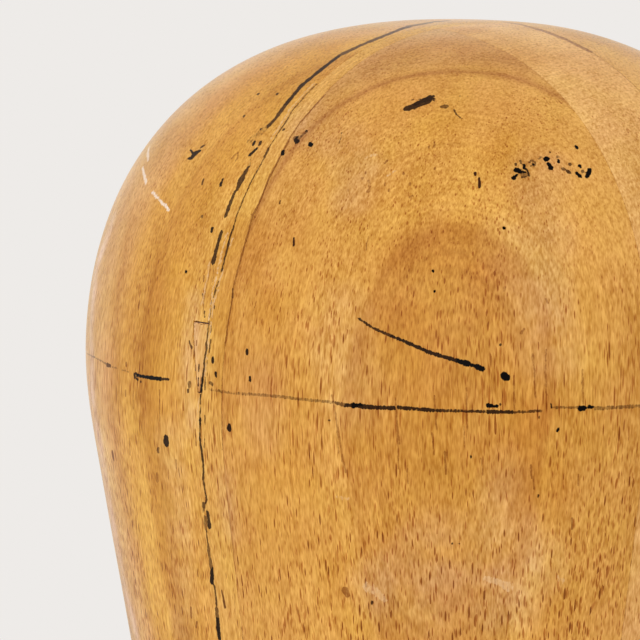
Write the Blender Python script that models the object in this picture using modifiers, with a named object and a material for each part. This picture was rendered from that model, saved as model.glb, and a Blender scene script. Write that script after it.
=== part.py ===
"""A wooden milliner's head block, in metres, +Z up, standing on its flat foot with the face towards -Y.

A rear billet, a thin strip and a front half of three boards are glued up and keyed with blind dowels.
The glued blank is carved to one head form, so every board carries its share of the same skin.
A tapering slip mends the opened glue joint at one ear, and the foot is bored for the peg of a stand.
"""

import itertools
import math

import bmesh
import bpy
from mathutils import Matrix, Vector

# The head form. Levels are heights over the foot, and half sizes are measured from the foot's axis.
LINE_LEVEL = 0.205  # the head-size line, where the hat's headband sits
CROWN_RISE = 0.0815  # from the head-size line to the top of the crown
HALF_WIDTH = 0.081  # ear to ear, at the sides' widest level
REAR_DEPTH = 0.096  # axis to the back of the head
FRONT_DEPTH = 0.090  # axis to the brow
SIDES_BELOW_LINE = 0.006  # the sides are widest this far under the line
ENDS_ABOVE_LINE = 0.0045  # brow and back of the head stand out most this far over it
FOOT_HALF_WIDTH = 0.060
FOOT_HALF_DEPTH = 0.062
FOOT_CHAMFER = 0.003
SHOULDER_SOFTNESS = 0.012  # how gently the widest level turns into the taper under it

# Curve exponents of the form: a section is a squared oval, and each dome is a squared quarter arc.
SECTION_POWER = 2.3
EGG = 0.04  # the section is this share wider behind than in front
SIDE_DOME = (1.95, 2.6)
END_DOME = (2.35, 2.3)
SIDE_TAPER = 1.25
NAPE_TAPER = 1.7
FACE_TAPER = 1.25

# The boards. The strip's front face is upright, and its rear face leans, so it is thicker at the foot.
FRONT_JOINT = -0.0146  # where the strip's front face lies across the head, in y
STRIP_THICKNESS = 0.0069  # at the head-size line
STRIP_FLARE = 0.028  # growth in thickness for each unit downwards
CORE_RIGHT_JOINT = -0.018  # the two joints of the front half's core board, in x
CORE_LEFT_JOINT = 0.0036
GLUE_LINE = 0.0003

# The slip that fills the opened rear joint on the -X side, driven in from above the head-size line.
SLIP_RISE = 0.0142  # its square top end over the line
SLIP_LENGTH = 0.0154
SLIP_TOP_WIDTH = 0.0056
SLIP_TIP_WIDTH = 0.0013
SLIP_DEPTH = 0.008

# Blind dowels: two pairs through the strip, and a third pair across the core board.
DOWEL_RADIUS = 0.005
DOWEL_LENGTH = 0.064
DOWEL_CHAMFER = 0.0008
DOWEL_SPREAD = 0.038  # from the middle plane to an outer dowel's axis
UPPER_DOWELS_BELOW_LINE = 0.017
LOWER_DOWELS_OVER_FOOT = 0.075
CORE_DOWELS_FORWARD = 0.046  # from the block's axis towards the face
CORE_DOWELS_BELOW_OUTER = 0.028
CORE_DOWELS_ABOVE_OUTER = 0.025

# The hole for a stand's peg.
SOCKET_RADIUS = 0.0125
SOCKET_DEPTH = 0.060
SOCKET_CHAMFER = 0.0015

# Facets.
STEPS_AROUND = 72
CROWN_RINGS = 18
SIDE_RINGS = 12
DOWEL_SIDES = 24
SOCKET_SIDES = 48

CROWN_LEVEL = LINE_LEVEL + CROWN_RISE
FOOT_SHIFT = (FRONT_DEPTH - REAR_DEPTH) / 2  # the foot's place in y, as the head is centred on the origin
CUTTER_OVERRUN = 0.01  # how far a cutter reaches past the surface it opens
SAW_DISTANCE = 0.000001  # a corner this near a saw cut counts as on it
AXIS_MERGE = 0.00001
SMOOTH_UNDER = math.radians(35)
CHAMFER_OVER = math.radians(60)

HONEY_WOOD = (0.62, 0.32, 0.09)
PINK_WOOD = (0.60, 0.29, 0.085)
YELLOW_WOOD = (0.69, 0.40, 0.14)
PALE_WOOD = (0.74, 0.47, 0.20)
DOWEL_WOOD = (0.66, 0.45, 0.24)
SHELLAC_ROUGHNESS = 0.42
BARE_ROUGHNESS = 0.7


def clear_scene():
    for obj in list(bpy.data.objects):
        bpy.data.objects.remove(obj, do_unlink=True)


def new_collection(name):
    collection = bpy.data.collections.new(name)
    bpy.context.scene.collection.children.link(collection)
    return collection


def wood(name, colour, roughness):
    """Shellacked or bare timber, as one plain finish."""
    material = bpy.data.materials.new(name)
    material.use_nodes = True
    shader = material.node_tree.nodes["Principled BSDF"]
    shader.inputs["Base Color"].default_value = (*colour, 1.0)
    shader.inputs["Roughness"].default_value = roughness
    shader.inputs["Metallic"].default_value = 0.0
    return material


def half_size(level, widest, widest_level, foot, dome, taper):
    """Half the block's size at a level: a dome over the widest level, and an easing taper under it."""
    if level >= widest_level:
        rise = (level - widest_level) / (CROWN_LEVEL - widest_level)
        return widest * max(0.0, 1 - rise ** dome[0]) ** (1 / dome[1])
    soft = SHOULDER_SOFTNESS
    fall = math.hypot(widest_level - level, soft) - soft
    whole_fall = math.hypot(widest_level, soft) - soft
    return foot + (widest - foot) * (1 - fall / whole_fall) ** taper


def skin_point(level, bearing, inset=0.0):
    """The point of the head form at this level, at this angle round from the face, inset from the skin."""
    side_level = LINE_LEVEL - SIDES_BELOW_LINE
    end_level = LINE_LEVEL + ENDS_ABOVE_LINE
    behind = math.cos(bearing) < 0
    depth = REAR_DEPTH if behind else FRONT_DEPTH
    taper = NAPE_TAPER if behind else FACE_TAPER
    half_width = half_size(level, HALF_WIDTH, side_level, FOOT_HALF_WIDTH, SIDE_DOME, SIDE_TAPER) - inset
    half_depth = half_size(level, depth, end_level, FOOT_HALF_DEPTH, END_DOME, taper) - inset
    across = math.copysign(abs(math.sin(bearing)) ** (2 / SECTION_POWER), math.sin(bearing))
    along = -math.copysign(abs(math.cos(bearing)) ** (2 / SECTION_POWER), math.cos(bearing))
    return Vector((half_width * across * (1 + EGG * along), half_depth * along, level))


def ring_levels():
    """(level, inset) of each ring from the crown's pole to the middle of the foot."""
    rings = [
        (LINE_LEVEL + CROWN_RISE * math.cos(math.pi / 2 * ring / CROWN_RINGS), 0.0)
        for ring in range(CROWN_RINGS)
    ]
    for ring in range(SIDE_RINGS + 1):
        share = ring / SIDE_RINGS
        rings.append((LINE_LEVEL + (FOOT_CHAMFER - LINE_LEVEL) * share, 0.0))
    rings.append((0.0, FOOT_CHAMFER))
    return rings


def head_form():
    """The carved form, pulled from a sphere: each circle of latitude becomes one level of the head."""
    rings = ring_levels()
    bm = bmesh.new()
    bmesh.ops.create_uvsphere(bm, u_segments=STEPS_AROUND, v_segments=len(rings), radius=1.0)
    for vert in bm.verts:
        latitude = math.acos(max(-1.0, min(1.0, vert.co.z)))
        ring = round(latitude / math.pi * len(rings))
        if ring == 0:
            vert.co = Vector((0, 0, CROWN_LEVEL))
        elif ring == len(rings):
            vert.co = Vector((0, 0, 0))
        else:
            bearing = math.atan2(vert.co.x, -vert.co.y)
            vert.co = skin_point(rings[ring][0], bearing, rings[ring][1])
    bmesh.ops.recalc_face_normals(bm, faces=bm.faces)
    mesh = bpy.data.meshes.new("head_form")
    bm.to_mesh(mesh)
    bm.free()
    return mesh


def add_object(name, mesh, material, collection, parent):
    obj = bpy.data.objects.new(name, mesh)
    collection.objects.link(obj)
    obj.parent = parent
    if material:
        mesh.materials.append(material)
    return obj


def sawn(name, mesh, cuts):
    """A copy of a solid, sawn off and closed on each plane (point, normal out of what is kept)."""
    bm = bmesh.new()
    bm.from_mesh(mesh)
    for point, normal in cuts:
        geometry = [*bm.verts, *bm.edges, *bm.faces]
        made = bmesh.ops.bisect_plane(
            bm, geom=geometry, dist=SAW_DISTANCE, plane_co=point, plane_no=normal, clear_outer=True
        )
        rim = [item for item in made["geom_cut"] if isinstance(item, bmesh.types.BMEdge)]
        bmesh.ops.contextual_create(bm, geom=rim)
    bmesh.ops.recalc_face_normals(bm, faces=bm.faces)
    result = bpy.data.meshes.new(name)
    bm.to_mesh(result)
    bm.free()
    result.shade_smooth()
    result.set_sharp_from_angle(angle=SMOOTH_UNDER)
    return result


def rear_joint(level):
    """y of the leaning glue joint behind the strip, at a level."""
    return FRONT_JOINT + STRIP_THICKNESS + STRIP_FLARE * (LINE_LEVEL - level)


def rear_joint_plane(offset):
    """(point, normal) of the leaning joint, moved back by the offset, with the normal facing the rear."""
    normal = Vector((0, 1, STRIP_FLARE)).normalized()
    return Vector((0, rear_joint(LINE_LEVEL), LINE_LEVEL)) + normal * offset, normal


def slip_planes(clearance):
    """The slip's top, tip, inner and rear faces, each moved out by the clearance."""
    top = LINE_LEVEL + SLIP_RISE
    tip = top - SLIP_LENGTH
    top_edge = Vector((0, rear_joint(top) + SLIP_TOP_WIDTH, top))
    tip_edge = Vector((0, rear_joint(tip) + SLIP_TIP_WIDTH, tip))
    slope = top_edge - tip_edge
    rear_normal = Vector((0, slope.z, -slope.y)).normalized()
    return [
        (Vector((0, 0, top + clearance)), Vector((0, 0, 1))),
        (Vector((0, 0, tip - clearance)), Vector((0, 0, -1))),
        (Vector((SLIP_DEPTH - HALF_WIDTH + clearance, 0, 0)), Vector((1, 0, 0))),
        (top_edge + rear_normal * clearance, rear_normal),
    ]


def cylinder(name, radius, length, sides):
    """A round bar along Z, centred on its origin."""
    bm = bmesh.new()
    bmesh.ops.create_cone(bm, cap_ends=True, segments=sides, radius1=radius, radius2=radius, depth=length)
    mesh = bpy.data.meshes.new(name)
    bm.to_mesh(mesh)
    bm.free()
    return mesh


def hide_cutter(obj):
    obj.hide_render = True
    obj.display_type = "WIRE"
    return obj


def cut(obj, cutter):
    modifier = obj.modifiers.new("cut_" + cutter.name, "BOOLEAN")
    modifier.operation = "DIFFERENCE"
    modifier.solver = "EXACT"
    modifier.object = cutter


def glued_boards(skin, block, parent, woods):
    """The rear billet, the strip and the front half's three boards, a glue line apart."""
    half_glue = GLUE_LINE / 2
    behind, rearward = rear_joint_plane(half_glue)
    before, _ = rear_joint_plane(-half_glue)
    forward = Vector((0, -1, 0))
    leftward = Vector((1, 0, 0))
    front_half = (Vector((0, FRONT_JOINT - half_glue, 0)), -forward)
    cuts = {
        "rear_billet": [(behind, -rearward)],
        "centre_strip": [(before, rearward), (Vector((0, FRONT_JOINT + half_glue, 0)), forward)],
        "front_right_billet": [front_half, (Vector((CORE_RIGHT_JOINT - half_glue, 0, 0)), leftward)],
        "front_core_board": [
            front_half,
            (Vector((CORE_RIGHT_JOINT + half_glue, 0, 0)), -leftward),
            (Vector((CORE_LEFT_JOINT - half_glue, 0, 0)), leftward),
        ],
        "front_left_billet": [front_half, (Vector((CORE_LEFT_JOINT + half_glue, 0, 0)), -leftward)],
    }
    return {
        name: add_object(name, sawn(name, skin, saw_cuts), woods[name], block, parent)
        for name, saw_cuts in cuts.items()
    }


def repair_slip(skin, block, cutters, parent, rear_billet, material):
    """A tapering wedge flush with the skin, in a pocket cut in the rear billet and backed by the strip."""
    behind, rearward = rear_joint_plane(GLUE_LINE / 2)
    slip = sawn("repair_slip", skin, [*slip_planes(0.0), (behind, -rearward)])
    add_object("repair_slip", slip, material, block, parent)
    bm = bmesh.new()
    bmesh.ops.create_cube(bm, size=1.0)
    reach = Matrix.Diagonal((2 * HALF_WIDTH + 2 * CUTTER_OVERRUN, REAR_DEPTH, 2 * CROWN_LEVEL, 1.0))
    bmesh.ops.transform(bm, matrix=reach, verts=bm.verts)
    blank = bpy.data.meshes.new("slip_pocket_blank")
    bm.to_mesh(blank)
    bm.free()
    pocket = sawn("slip_pocket", blank, slip_planes(GLUE_LINE))
    cut(rear_billet, hide_cutter(add_object("slip_pocket", pocket, None, cutters, parent)))


def dowel(name, middle, turn, boards, block, cutters, parent, material):
    """One blind dowel with chamfered ends, and its bore in each board that it keys."""
    bar = cylinder(name, DOWEL_RADIUS, DOWEL_LENGTH, DOWEL_SIDES)
    bore = cylinder(name + "_bore", DOWEL_RADIUS + GLUE_LINE, DOWEL_LENGTH + 2 * GLUE_LINE, DOWEL_SIDES)
    pin = add_object(name, bar, material, block, parent)
    hole = hide_cutter(add_object(name + "_bore", bore, None, cutters, parent))
    for obj in (pin, hole):
        obj.location = middle
        obj.rotation_euler = turn
    chamfer = pin.modifiers.new("chamfer", "BEVEL")
    chamfer.width = DOWEL_CHAMFER
    chamfer.segments = 1
    chamfer.limit_method = "ANGLE"
    chamfer.angle_limit = CHAMFER_OVER
    bar.shade_smooth()
    bar.set_sharp_from_angle(angle=SMOOTH_UNDER)
    for board in boards:
        cut(board, hole)


def dowels(boards, block, cutters, parent, material):
    """Four dowels from the rear billet into the front half, and two across the front half's core."""
    upper = LINE_LEVEL - UPPER_DOWELS_BELOW_LINE
    lower = LOWER_DOWELS_OVER_FOOT
    levels = {"upper": upper, "lower": lower}
    sides = {"left": DOWEL_SPREAD, "right": -DOWEL_SPREAD}
    backwards = (math.pi / 2, 0, 0)
    for (height, level), (side, x) in itertools.product(levels.items(), sides.items()):
        middle = Vector((x, (rear_joint(level) + FRONT_JOINT) / 2, level))
        keyed = [boards["rear_billet"], boards["centre_strip"], boards[f"front_{side}_billet"]]
        dowel(f"dowel_{height}_{side}", middle, backwards, keyed, block, cutters, parent, material)
    sideways = (0, math.pi / 2, 0)
    core_middle = (CORE_RIGHT_JOINT + CORE_LEFT_JOINT) / 2
    core_levels = {"upper": upper - CORE_DOWELS_BELOW_OUTER, "lower": lower + CORE_DOWELS_ABOVE_OUTER}
    keyed = [board for name, board in boards.items() if name.startswith("front")]
    for height, level in core_levels.items():
        middle = Vector((core_middle, -CORE_DOWELS_FORWARD, level))
        dowel(f"dowel_{height}_core", middle, sideways, keyed, block, cutters, parent, material)


def stand_socket(cutters, parent, boards):
    """The blind hole in the foot, a turned cutter with a chamfered mouth, in the boards that it meets."""
    mouth = SOCKET_RADIUS + SOCKET_CHAMFER
    profile = [
        (0, SOCKET_DEPTH),
        (SOCKET_RADIUS, SOCKET_DEPTH),
        (SOCKET_RADIUS, SOCKET_CHAMFER),
        (mouth, 0),
        (mouth, -CUTTER_OVERRUN),
        (0, -CUTTER_OVERRUN),
    ]
    mesh = bpy.data.meshes.new("stand_socket")
    edges = [(corner, corner + 1) for corner in range(len(profile) - 1)]
    mesh.from_pydata([(x, 0, z) for x, z in profile], edges, [])
    socket = hide_cutter(add_object("stand_socket", mesh, None, cutters, parent))
    turn = socket.modifiers.new("turn", "SCREW")
    turn.axis = "Z"
    turn.angle = 2 * math.pi
    turn.steps = SOCKET_SIDES
    turn.render_steps = SOCKET_SIDES
    turn.use_merge_vertices = True
    turn.merge_threshold = AXIS_MERGE
    for board in boards:
        cut(board, socket)


def main():
    clear_scene()
    block = new_collection("millinery_head_block")
    cutters = new_collection("cutters")
    foot = bpy.data.objects.new("foot_centre", None)
    foot.location.y = FOOT_SHIFT
    block.objects.link(foot)
    honey_wood = wood("shellacked_honey_wood", HONEY_WOOD, SHELLAC_ROUGHNESS)
    yellow_wood = wood("shellacked_yellow_wood", YELLOW_WOOD, SHELLAC_ROUGHNESS)
    woods = {
        "rear_billet": honey_wood,
        "centre_strip": yellow_wood,
        "front_right_billet": wood("shellacked_pinkish_wood", PINK_WOOD, SHELLAC_ROUGHNESS),
        "front_core_board": yellow_wood,
        "front_left_billet": honey_wood,
    }
    skin = head_form()
    boards = glued_boards(skin, block, foot, woods)
    slip_wood = wood("shellacked_pale_wood", PALE_WOOD, SHELLAC_ROUGHNESS)
    repair_slip(skin, block, cutters, foot, boards["rear_billet"], slip_wood)
    dowels(boards, block, cutters, foot, wood("bare_dowel_wood", DOWEL_WOOD, BARE_ROUGHNESS))
    stand_socket(cutters, foot, [boards["rear_billet"], boards["centre_strip"]])
    bpy.data.meshes.remove(skin)


main()
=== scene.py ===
"""A milliner's wooden head block, seen as in the photograph, on a plain pale floor under soft light."""

import math
import random

import bmesh
import bpy
from mathutils import Euler, Matrix, Vector, noise
from mathutils.bvhtree import BVHTree
from mathutils.geometry import barycentric_transform
from mathutils.kdtree import KDTree


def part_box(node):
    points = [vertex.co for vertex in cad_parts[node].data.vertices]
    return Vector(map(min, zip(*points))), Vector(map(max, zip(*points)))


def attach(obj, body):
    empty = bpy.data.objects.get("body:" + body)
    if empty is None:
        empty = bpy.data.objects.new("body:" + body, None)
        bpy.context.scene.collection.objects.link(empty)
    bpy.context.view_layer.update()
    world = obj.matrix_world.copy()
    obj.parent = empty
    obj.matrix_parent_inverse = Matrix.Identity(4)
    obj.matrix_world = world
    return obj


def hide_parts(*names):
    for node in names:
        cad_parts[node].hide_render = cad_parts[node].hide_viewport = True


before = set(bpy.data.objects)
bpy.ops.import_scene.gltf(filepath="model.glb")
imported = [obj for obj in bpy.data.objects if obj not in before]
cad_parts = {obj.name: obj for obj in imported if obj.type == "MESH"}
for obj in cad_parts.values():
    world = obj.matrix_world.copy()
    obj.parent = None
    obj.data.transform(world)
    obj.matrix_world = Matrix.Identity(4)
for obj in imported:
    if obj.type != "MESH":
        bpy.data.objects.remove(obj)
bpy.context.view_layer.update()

MM = 0.001

# The photographer's view: a long lens at the height of the crown, looking slightly down on the right ear
# and the brow. The block fills the picture, and its foot is below the frame.
PHOTO_SIDE = 640
CAMERA_PLACE = Vector((-0.4706, -0.5870, 0.3045))
CAMERA_TILT = math.radians(83.092)
CAMERA_HEADING = math.radians(-36.295)
LENS = 174.57
SENSOR = 36.0

camera = bpy.data.objects.new("camera", bpy.data.cameras.new("camera"))
camera.data.lens = LENS
camera.data.sensor_width = SENSOR
camera.data.clip_end = 50
camera.location = CAMERA_PLACE
camera.rotation_euler = (CAMERA_TILT, 0, CAMERA_HEADING)
bpy.context.scene.collection.objects.link(camera)
bpy.context.scene.camera = camera
bpy.context.scene.view_settings.view_transform = "Standard"


# The carved head form, common to all the boards: the blank was glued up first, and then sawn, rasped and
# sanded to a head that tapers to a flat foot. Its skin is a little uneven from the rasp.
LINE_LEVEL = 205 * MM
CROWN_RISE = 81.5 * MM
HALF_WIDTH = 81 * MM
REAR_DEPTH = 96 * MM
FRONT_DEPTH = 90 * MM
SIDES_BELOW_LINE = 6 * MM
ENDS_ABOVE_LINE = 4.5 * MM
FOOT_HALF_WIDTH = 60 * MM
FOOT_HALF_DEPTH = 62 * MM
SHOULDER_SOFTNESS = 12 * MM
SECTION_POWER = 2.3
EGG = 0.04
SIDE_DOME = (1.95, 2.6)
END_DOME = (2.35, 2.3)
SIDE_TAPER = 1.25
NAPE_TAPER = 1.7
FACE_TAPER = 1.25
FOOT_SHIFT = (FRONT_DEPTH - REAR_DEPTH) / 2
CROWN_LEVEL = LINE_LEVEL + CROWN_RISE
BALL_SUBDIVISIONS = 7
FOOT_ANGLE = math.radians(150)
SPARE_UNDER_FOOT = 6 * MM


def half_size(level, widest, widest_level, foot, dome, taper):
    """Half the block's size at a level: a dome over the widest level, and an easing taper under it."""
    if level >= widest_level:
        rise = (level - widest_level) / (CROWN_LEVEL - widest_level)
        return widest * max(0.0, 1 - rise ** dome[0]) ** (1 / dome[1])
    fall = math.hypot(widest_level - level, SHOULDER_SOFTNESS) - SHOULDER_SOFTNESS
    whole_fall = math.hypot(widest_level, SHOULDER_SOFTNESS) - SHOULDER_SOFTNESS
    return foot + (widest - foot) * max(0.0, 1 - fall / whole_fall) ** taper


def skin_point(level, bearing):
    """The point of the head form at this level, at this angle round from the face."""
    behind = math.cos(bearing) < 0
    depth = REAR_DEPTH if behind else FRONT_DEPTH
    taper = NAPE_TAPER if behind else FACE_TAPER
    side_level = LINE_LEVEL - SIDES_BELOW_LINE
    end_level = LINE_LEVEL + ENDS_ABOVE_LINE
    half_width = half_size(level, HALF_WIDTH, side_level, FOOT_HALF_WIDTH, SIDE_DOME, SIDE_TAPER)
    half_depth = half_size(level, depth, end_level, FOOT_HALF_DEPTH, END_DOME, taper)
    across = math.copysign(abs(math.sin(bearing)) ** (2 / SECTION_POWER), math.sin(bearing))
    along = -math.copysign(abs(math.cos(bearing)) ** (2 / SECTION_POWER), math.cos(bearing))
    return Vector((half_width * across * (1 + EGG * along), half_depth * along + FOOT_SHIFT, level))


def carved(spot):
    """Where a spot of the unit ball lies on the head form: its latitude gives the level."""
    from_crown = math.acos(max(-1.0, min(1.0, spot.z)))
    bearing = math.atan2(spot.x, -spot.y)
    if from_crown <= math.pi / 2:
        return skin_point(LINE_LEVEL + CROWN_RISE * math.cos(from_crown), bearing)
    if from_crown < FOOT_ANGLE:
        share = (from_crown - math.pi / 2) / (FOOT_ANGLE - math.pi / 2)
        return skin_point(LINE_LEVEL - (LINE_LEVEL + SPARE_UNDER_FOOT) * share, bearing)
    rim = skin_point(-SPARE_UNDER_FOOT, bearing)
    share = (math.pi - from_crown) / (math.pi - FOOT_ANGLE)
    return Vector((rim.x * share, FOOT_SHIFT + (rim.y - FOOT_SHIFT) * share, rim.z))


ball = bmesh.new()
bmesh.ops.create_icosphere(ball, subdivisions=BALL_SUBDIVISIONS, radius=1.0)
ball.verts.index_update()
form_points = [carved(vert.co) for vert in ball.verts]
ball_points = [vert.co.copy() for vert in ball.verts]
ball_triangles = [[vert.index for vert in face.verts] for face in ball.faces]
form_tree = BVHTree.FromPolygons(form_points, ball_triangles)

# The glue joints' planes, where the blank was put together before it was carved.
FRONT_JOINT = -14.6 * MM + FOOT_SHIFT
STRIP_THICKNESS = 6.9 * MM
STRIP_FLARE = 0.028
CORE_RIGHT_JOINT = -18 * MM
CORE_LEFT_JOINT = 3.6 * MM

rearward = Vector((0, 1, STRIP_FLARE)).normalized()
forward = Vector((0, -1, 0))
leftward = Vector((1, 0, 0))
straight_up = Vector((0, 0, 1))
rear_point = Vector((0, FRONT_JOINT + STRIP_THICKNESS, LINE_LEVEL))
front_point = Vector((0, FRONT_JOINT, 0))
core_right_point = Vector((CORE_RIGHT_JOINT, 0, 0))
core_left_point = Vector((CORE_LEFT_JOINT, 0, 0))


# The marks that years of use left on the skin: the drawn head-size line and fitting lines in black ink,
# worn and broken, blots and specks, the dirt in the glue joints, brown bruises, and chalk scratches. Pale
# strokes along the rear joint's crack, drawn as chalk, are a painted highlight on the crack's edges.
# Each mark is traced over the photograph: the points that it passes through there, its width at both
# ends in the photograph's pixels, and how much of the wood it hides.
PIXEL_ANGLE = SENSOR / LENS / PHOTO_SIDE
INK = "ink"
BRUISE = "bruise"
# The chalk kind also paints the highlight along the rear joint's crack.
CHALK_AND_HIGHLIGHT = "chalk"
MARK_STEP = 0.15 * MM
SWELL_LENGTH = 1.2 * MM
SWELL = 0.3
MARK_MARGIN = 0.5 * MM
STATION_STEP = 4
LEAST_FACING = 0.15

head_line_marks = {
    "nape_line": ([(87, 353.4), (94, 357), (101.4, 361), (106.8, 364.1)], 1.3, 1.8, 0.5),
    "nape_blot": ([(107, 364.8), (110.4, 366)], 4.0, 3.6, 0.85),
    "nape_line_faint": ([(112, 366.8), (117.5, 368.4)], 1.2, 1.2, 0.4),
    "nape_line_fainter": ([(122, 369.4), (129, 371.8)], 1.0, 1.0, 0.3),
    "ear_stroke_bow": ([(136.5, 373.3), (134.3, 374.6), (134.8, 377.4), (138.2, 380)], 2.2, 2.0, 0.95),
    "ear_stroke": ([(137, 374.8), (140, 375.9), (150, 377.6), (160.4, 379)], 3.6, 4.2, 1.0),
    "ear_stroke_end": ([(160.4, 379), (169, 379.3)], 3.2, 2.4, 0.95),
    "ear_stroke_speck": ([(140.7, 381.8)], 2.4, 2.4, 0.9),
    "blot_before_slip": ([(189.4, 383.6), (189.4, 385)], 3.6, 3.6, 0.6),
    "speck_before_slip": ([(188.2, 390.2), (188.2, 391.6)], 2.2, 2.2, 0.85),
    "strip_blot": ([(209.9, 382.8), (212.1, 384)], 3.4, 3.4, 0.75),
    "strip_line": ([(209.7, 389.3), (214, 390)], 2.4, 2.0, 0.6),
    "cheek_line": ([(214, 390), (222, 391.4), (230.6, 392.9), (250, 394.2)], 2.2, 3.0, 0.5),
    "cheek_line_on": ([(250, 394.2), (269.4, 395.5), (295.9, 398.5), (334, 402.6)], 2.7, 3.0, 0.5),
    "temple_line_start": ([(334, 402.6), (345, 405)], 2.7, 4.3, 0.75),
    "temple_blot": ([(353, 405.4), (361, 405.8)], 6.2, 5.4, 1.0),
    "temple_line": ([(345, 405.2), (363, 406.6), (380, 407.6), (394.3, 408.1)], 4.6, 4.3, 0.96),
    "brow_line": ([(398, 407.5), (415, 409), (439.5, 410.7)], 4.0, 3.5, 0.96),
    "brow_line_thin": ([(439.5, 410.7), (462, 411), (487, 411.5)], 2.9, 2.9, 0.92),
    "brow_line_thick": ([(487.6, 411.6), (500, 412), (512.5, 412.2)], 4.0, 3.5, 0.96),
    "brow_line_faint": ([(515, 412.2), (530, 411.4), (542.3, 410.7)], 2.5, 2.5, 0.85),
    "brow_line_ghost": ([(554, 407.6), (566, 407.4), (577, 407.4)], 2.4, 2.4, 0.58),
    "brow_blot": ([(580, 408.4), (584, 408.2)], 5.5, 4.8, 1.0),
    "brow_blot_end": ([(589, 407), (593, 407)], 4.4, 3.0, 1.0),
    "dash_over_line": ([(488.2, 405.5), (491, 405.9)], 4.8, 4.2, 1.0),
    "dash_over_line_end": ([(491, 406), (496.9, 406.2)], 3.6, 3.6, 1.0),
    "dash_speck": ([(500.5, 404.2), (500.7, 405)], 2.0, 2.0, 0.85),
    "speck_over_brow_line": ([(551.4, 404.2), (551.4, 407.4)], 2.0, 2.2, 0.95),
}
crown_line_marks = {
    "crown_line_top": ([(449, 20.4), (434, 21.6), (412, 25.4)], 1.4, 2.2, 0.7),
    "crown_line_upper": ([(412, 25.4), (402, 28.4), (361, 45), (340, 55)], 2.2, 2.6, 0.85),
    "crown_line_knot": ([(402, 28.4)], 3.0, 3.0, 0.9),
    "crown_line_thick": ([(340, 55), (332, 61), (318, 72), (302, 85), (286, 104)], 2.7, 3.5, 0.95),
    "crown_line_thick_end": ([(286, 104), (275, 119), (267.4, 126.6)], 3.2, 2.8, 0.9),
    "crown_line_smudge": ([(264, 129), (257, 134.5), (250, 140)], 4.5, 4.0, 0.22),
    "crown_line_gap": ([(250.4, 157), (249.2, 165)], 1.4, 2.4, 0.3),
    "crown_line_dash": ([(256.5, 148.8), (249.9, 154.6)], 2.4, 2.2, 0.97),
    "crown_line_faded": ([(248.6, 166.6), (241, 180)], 2.4, 4.6, 0.9),
    "crown_line_faded_on": ([(241, 180), (237.4, 189.2)], 4.6, 3.2, 0.9),
    "crown_line_worn": ([(235, 191.8), (230.4, 203), (225.8, 215.4)], 2.4, 3.4, 0.9),
    "crown_line_foot": ([(221.4, 232.4), (217.8, 243), (213, 262)], 3.0, 3.8, 0.93),
}
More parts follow.
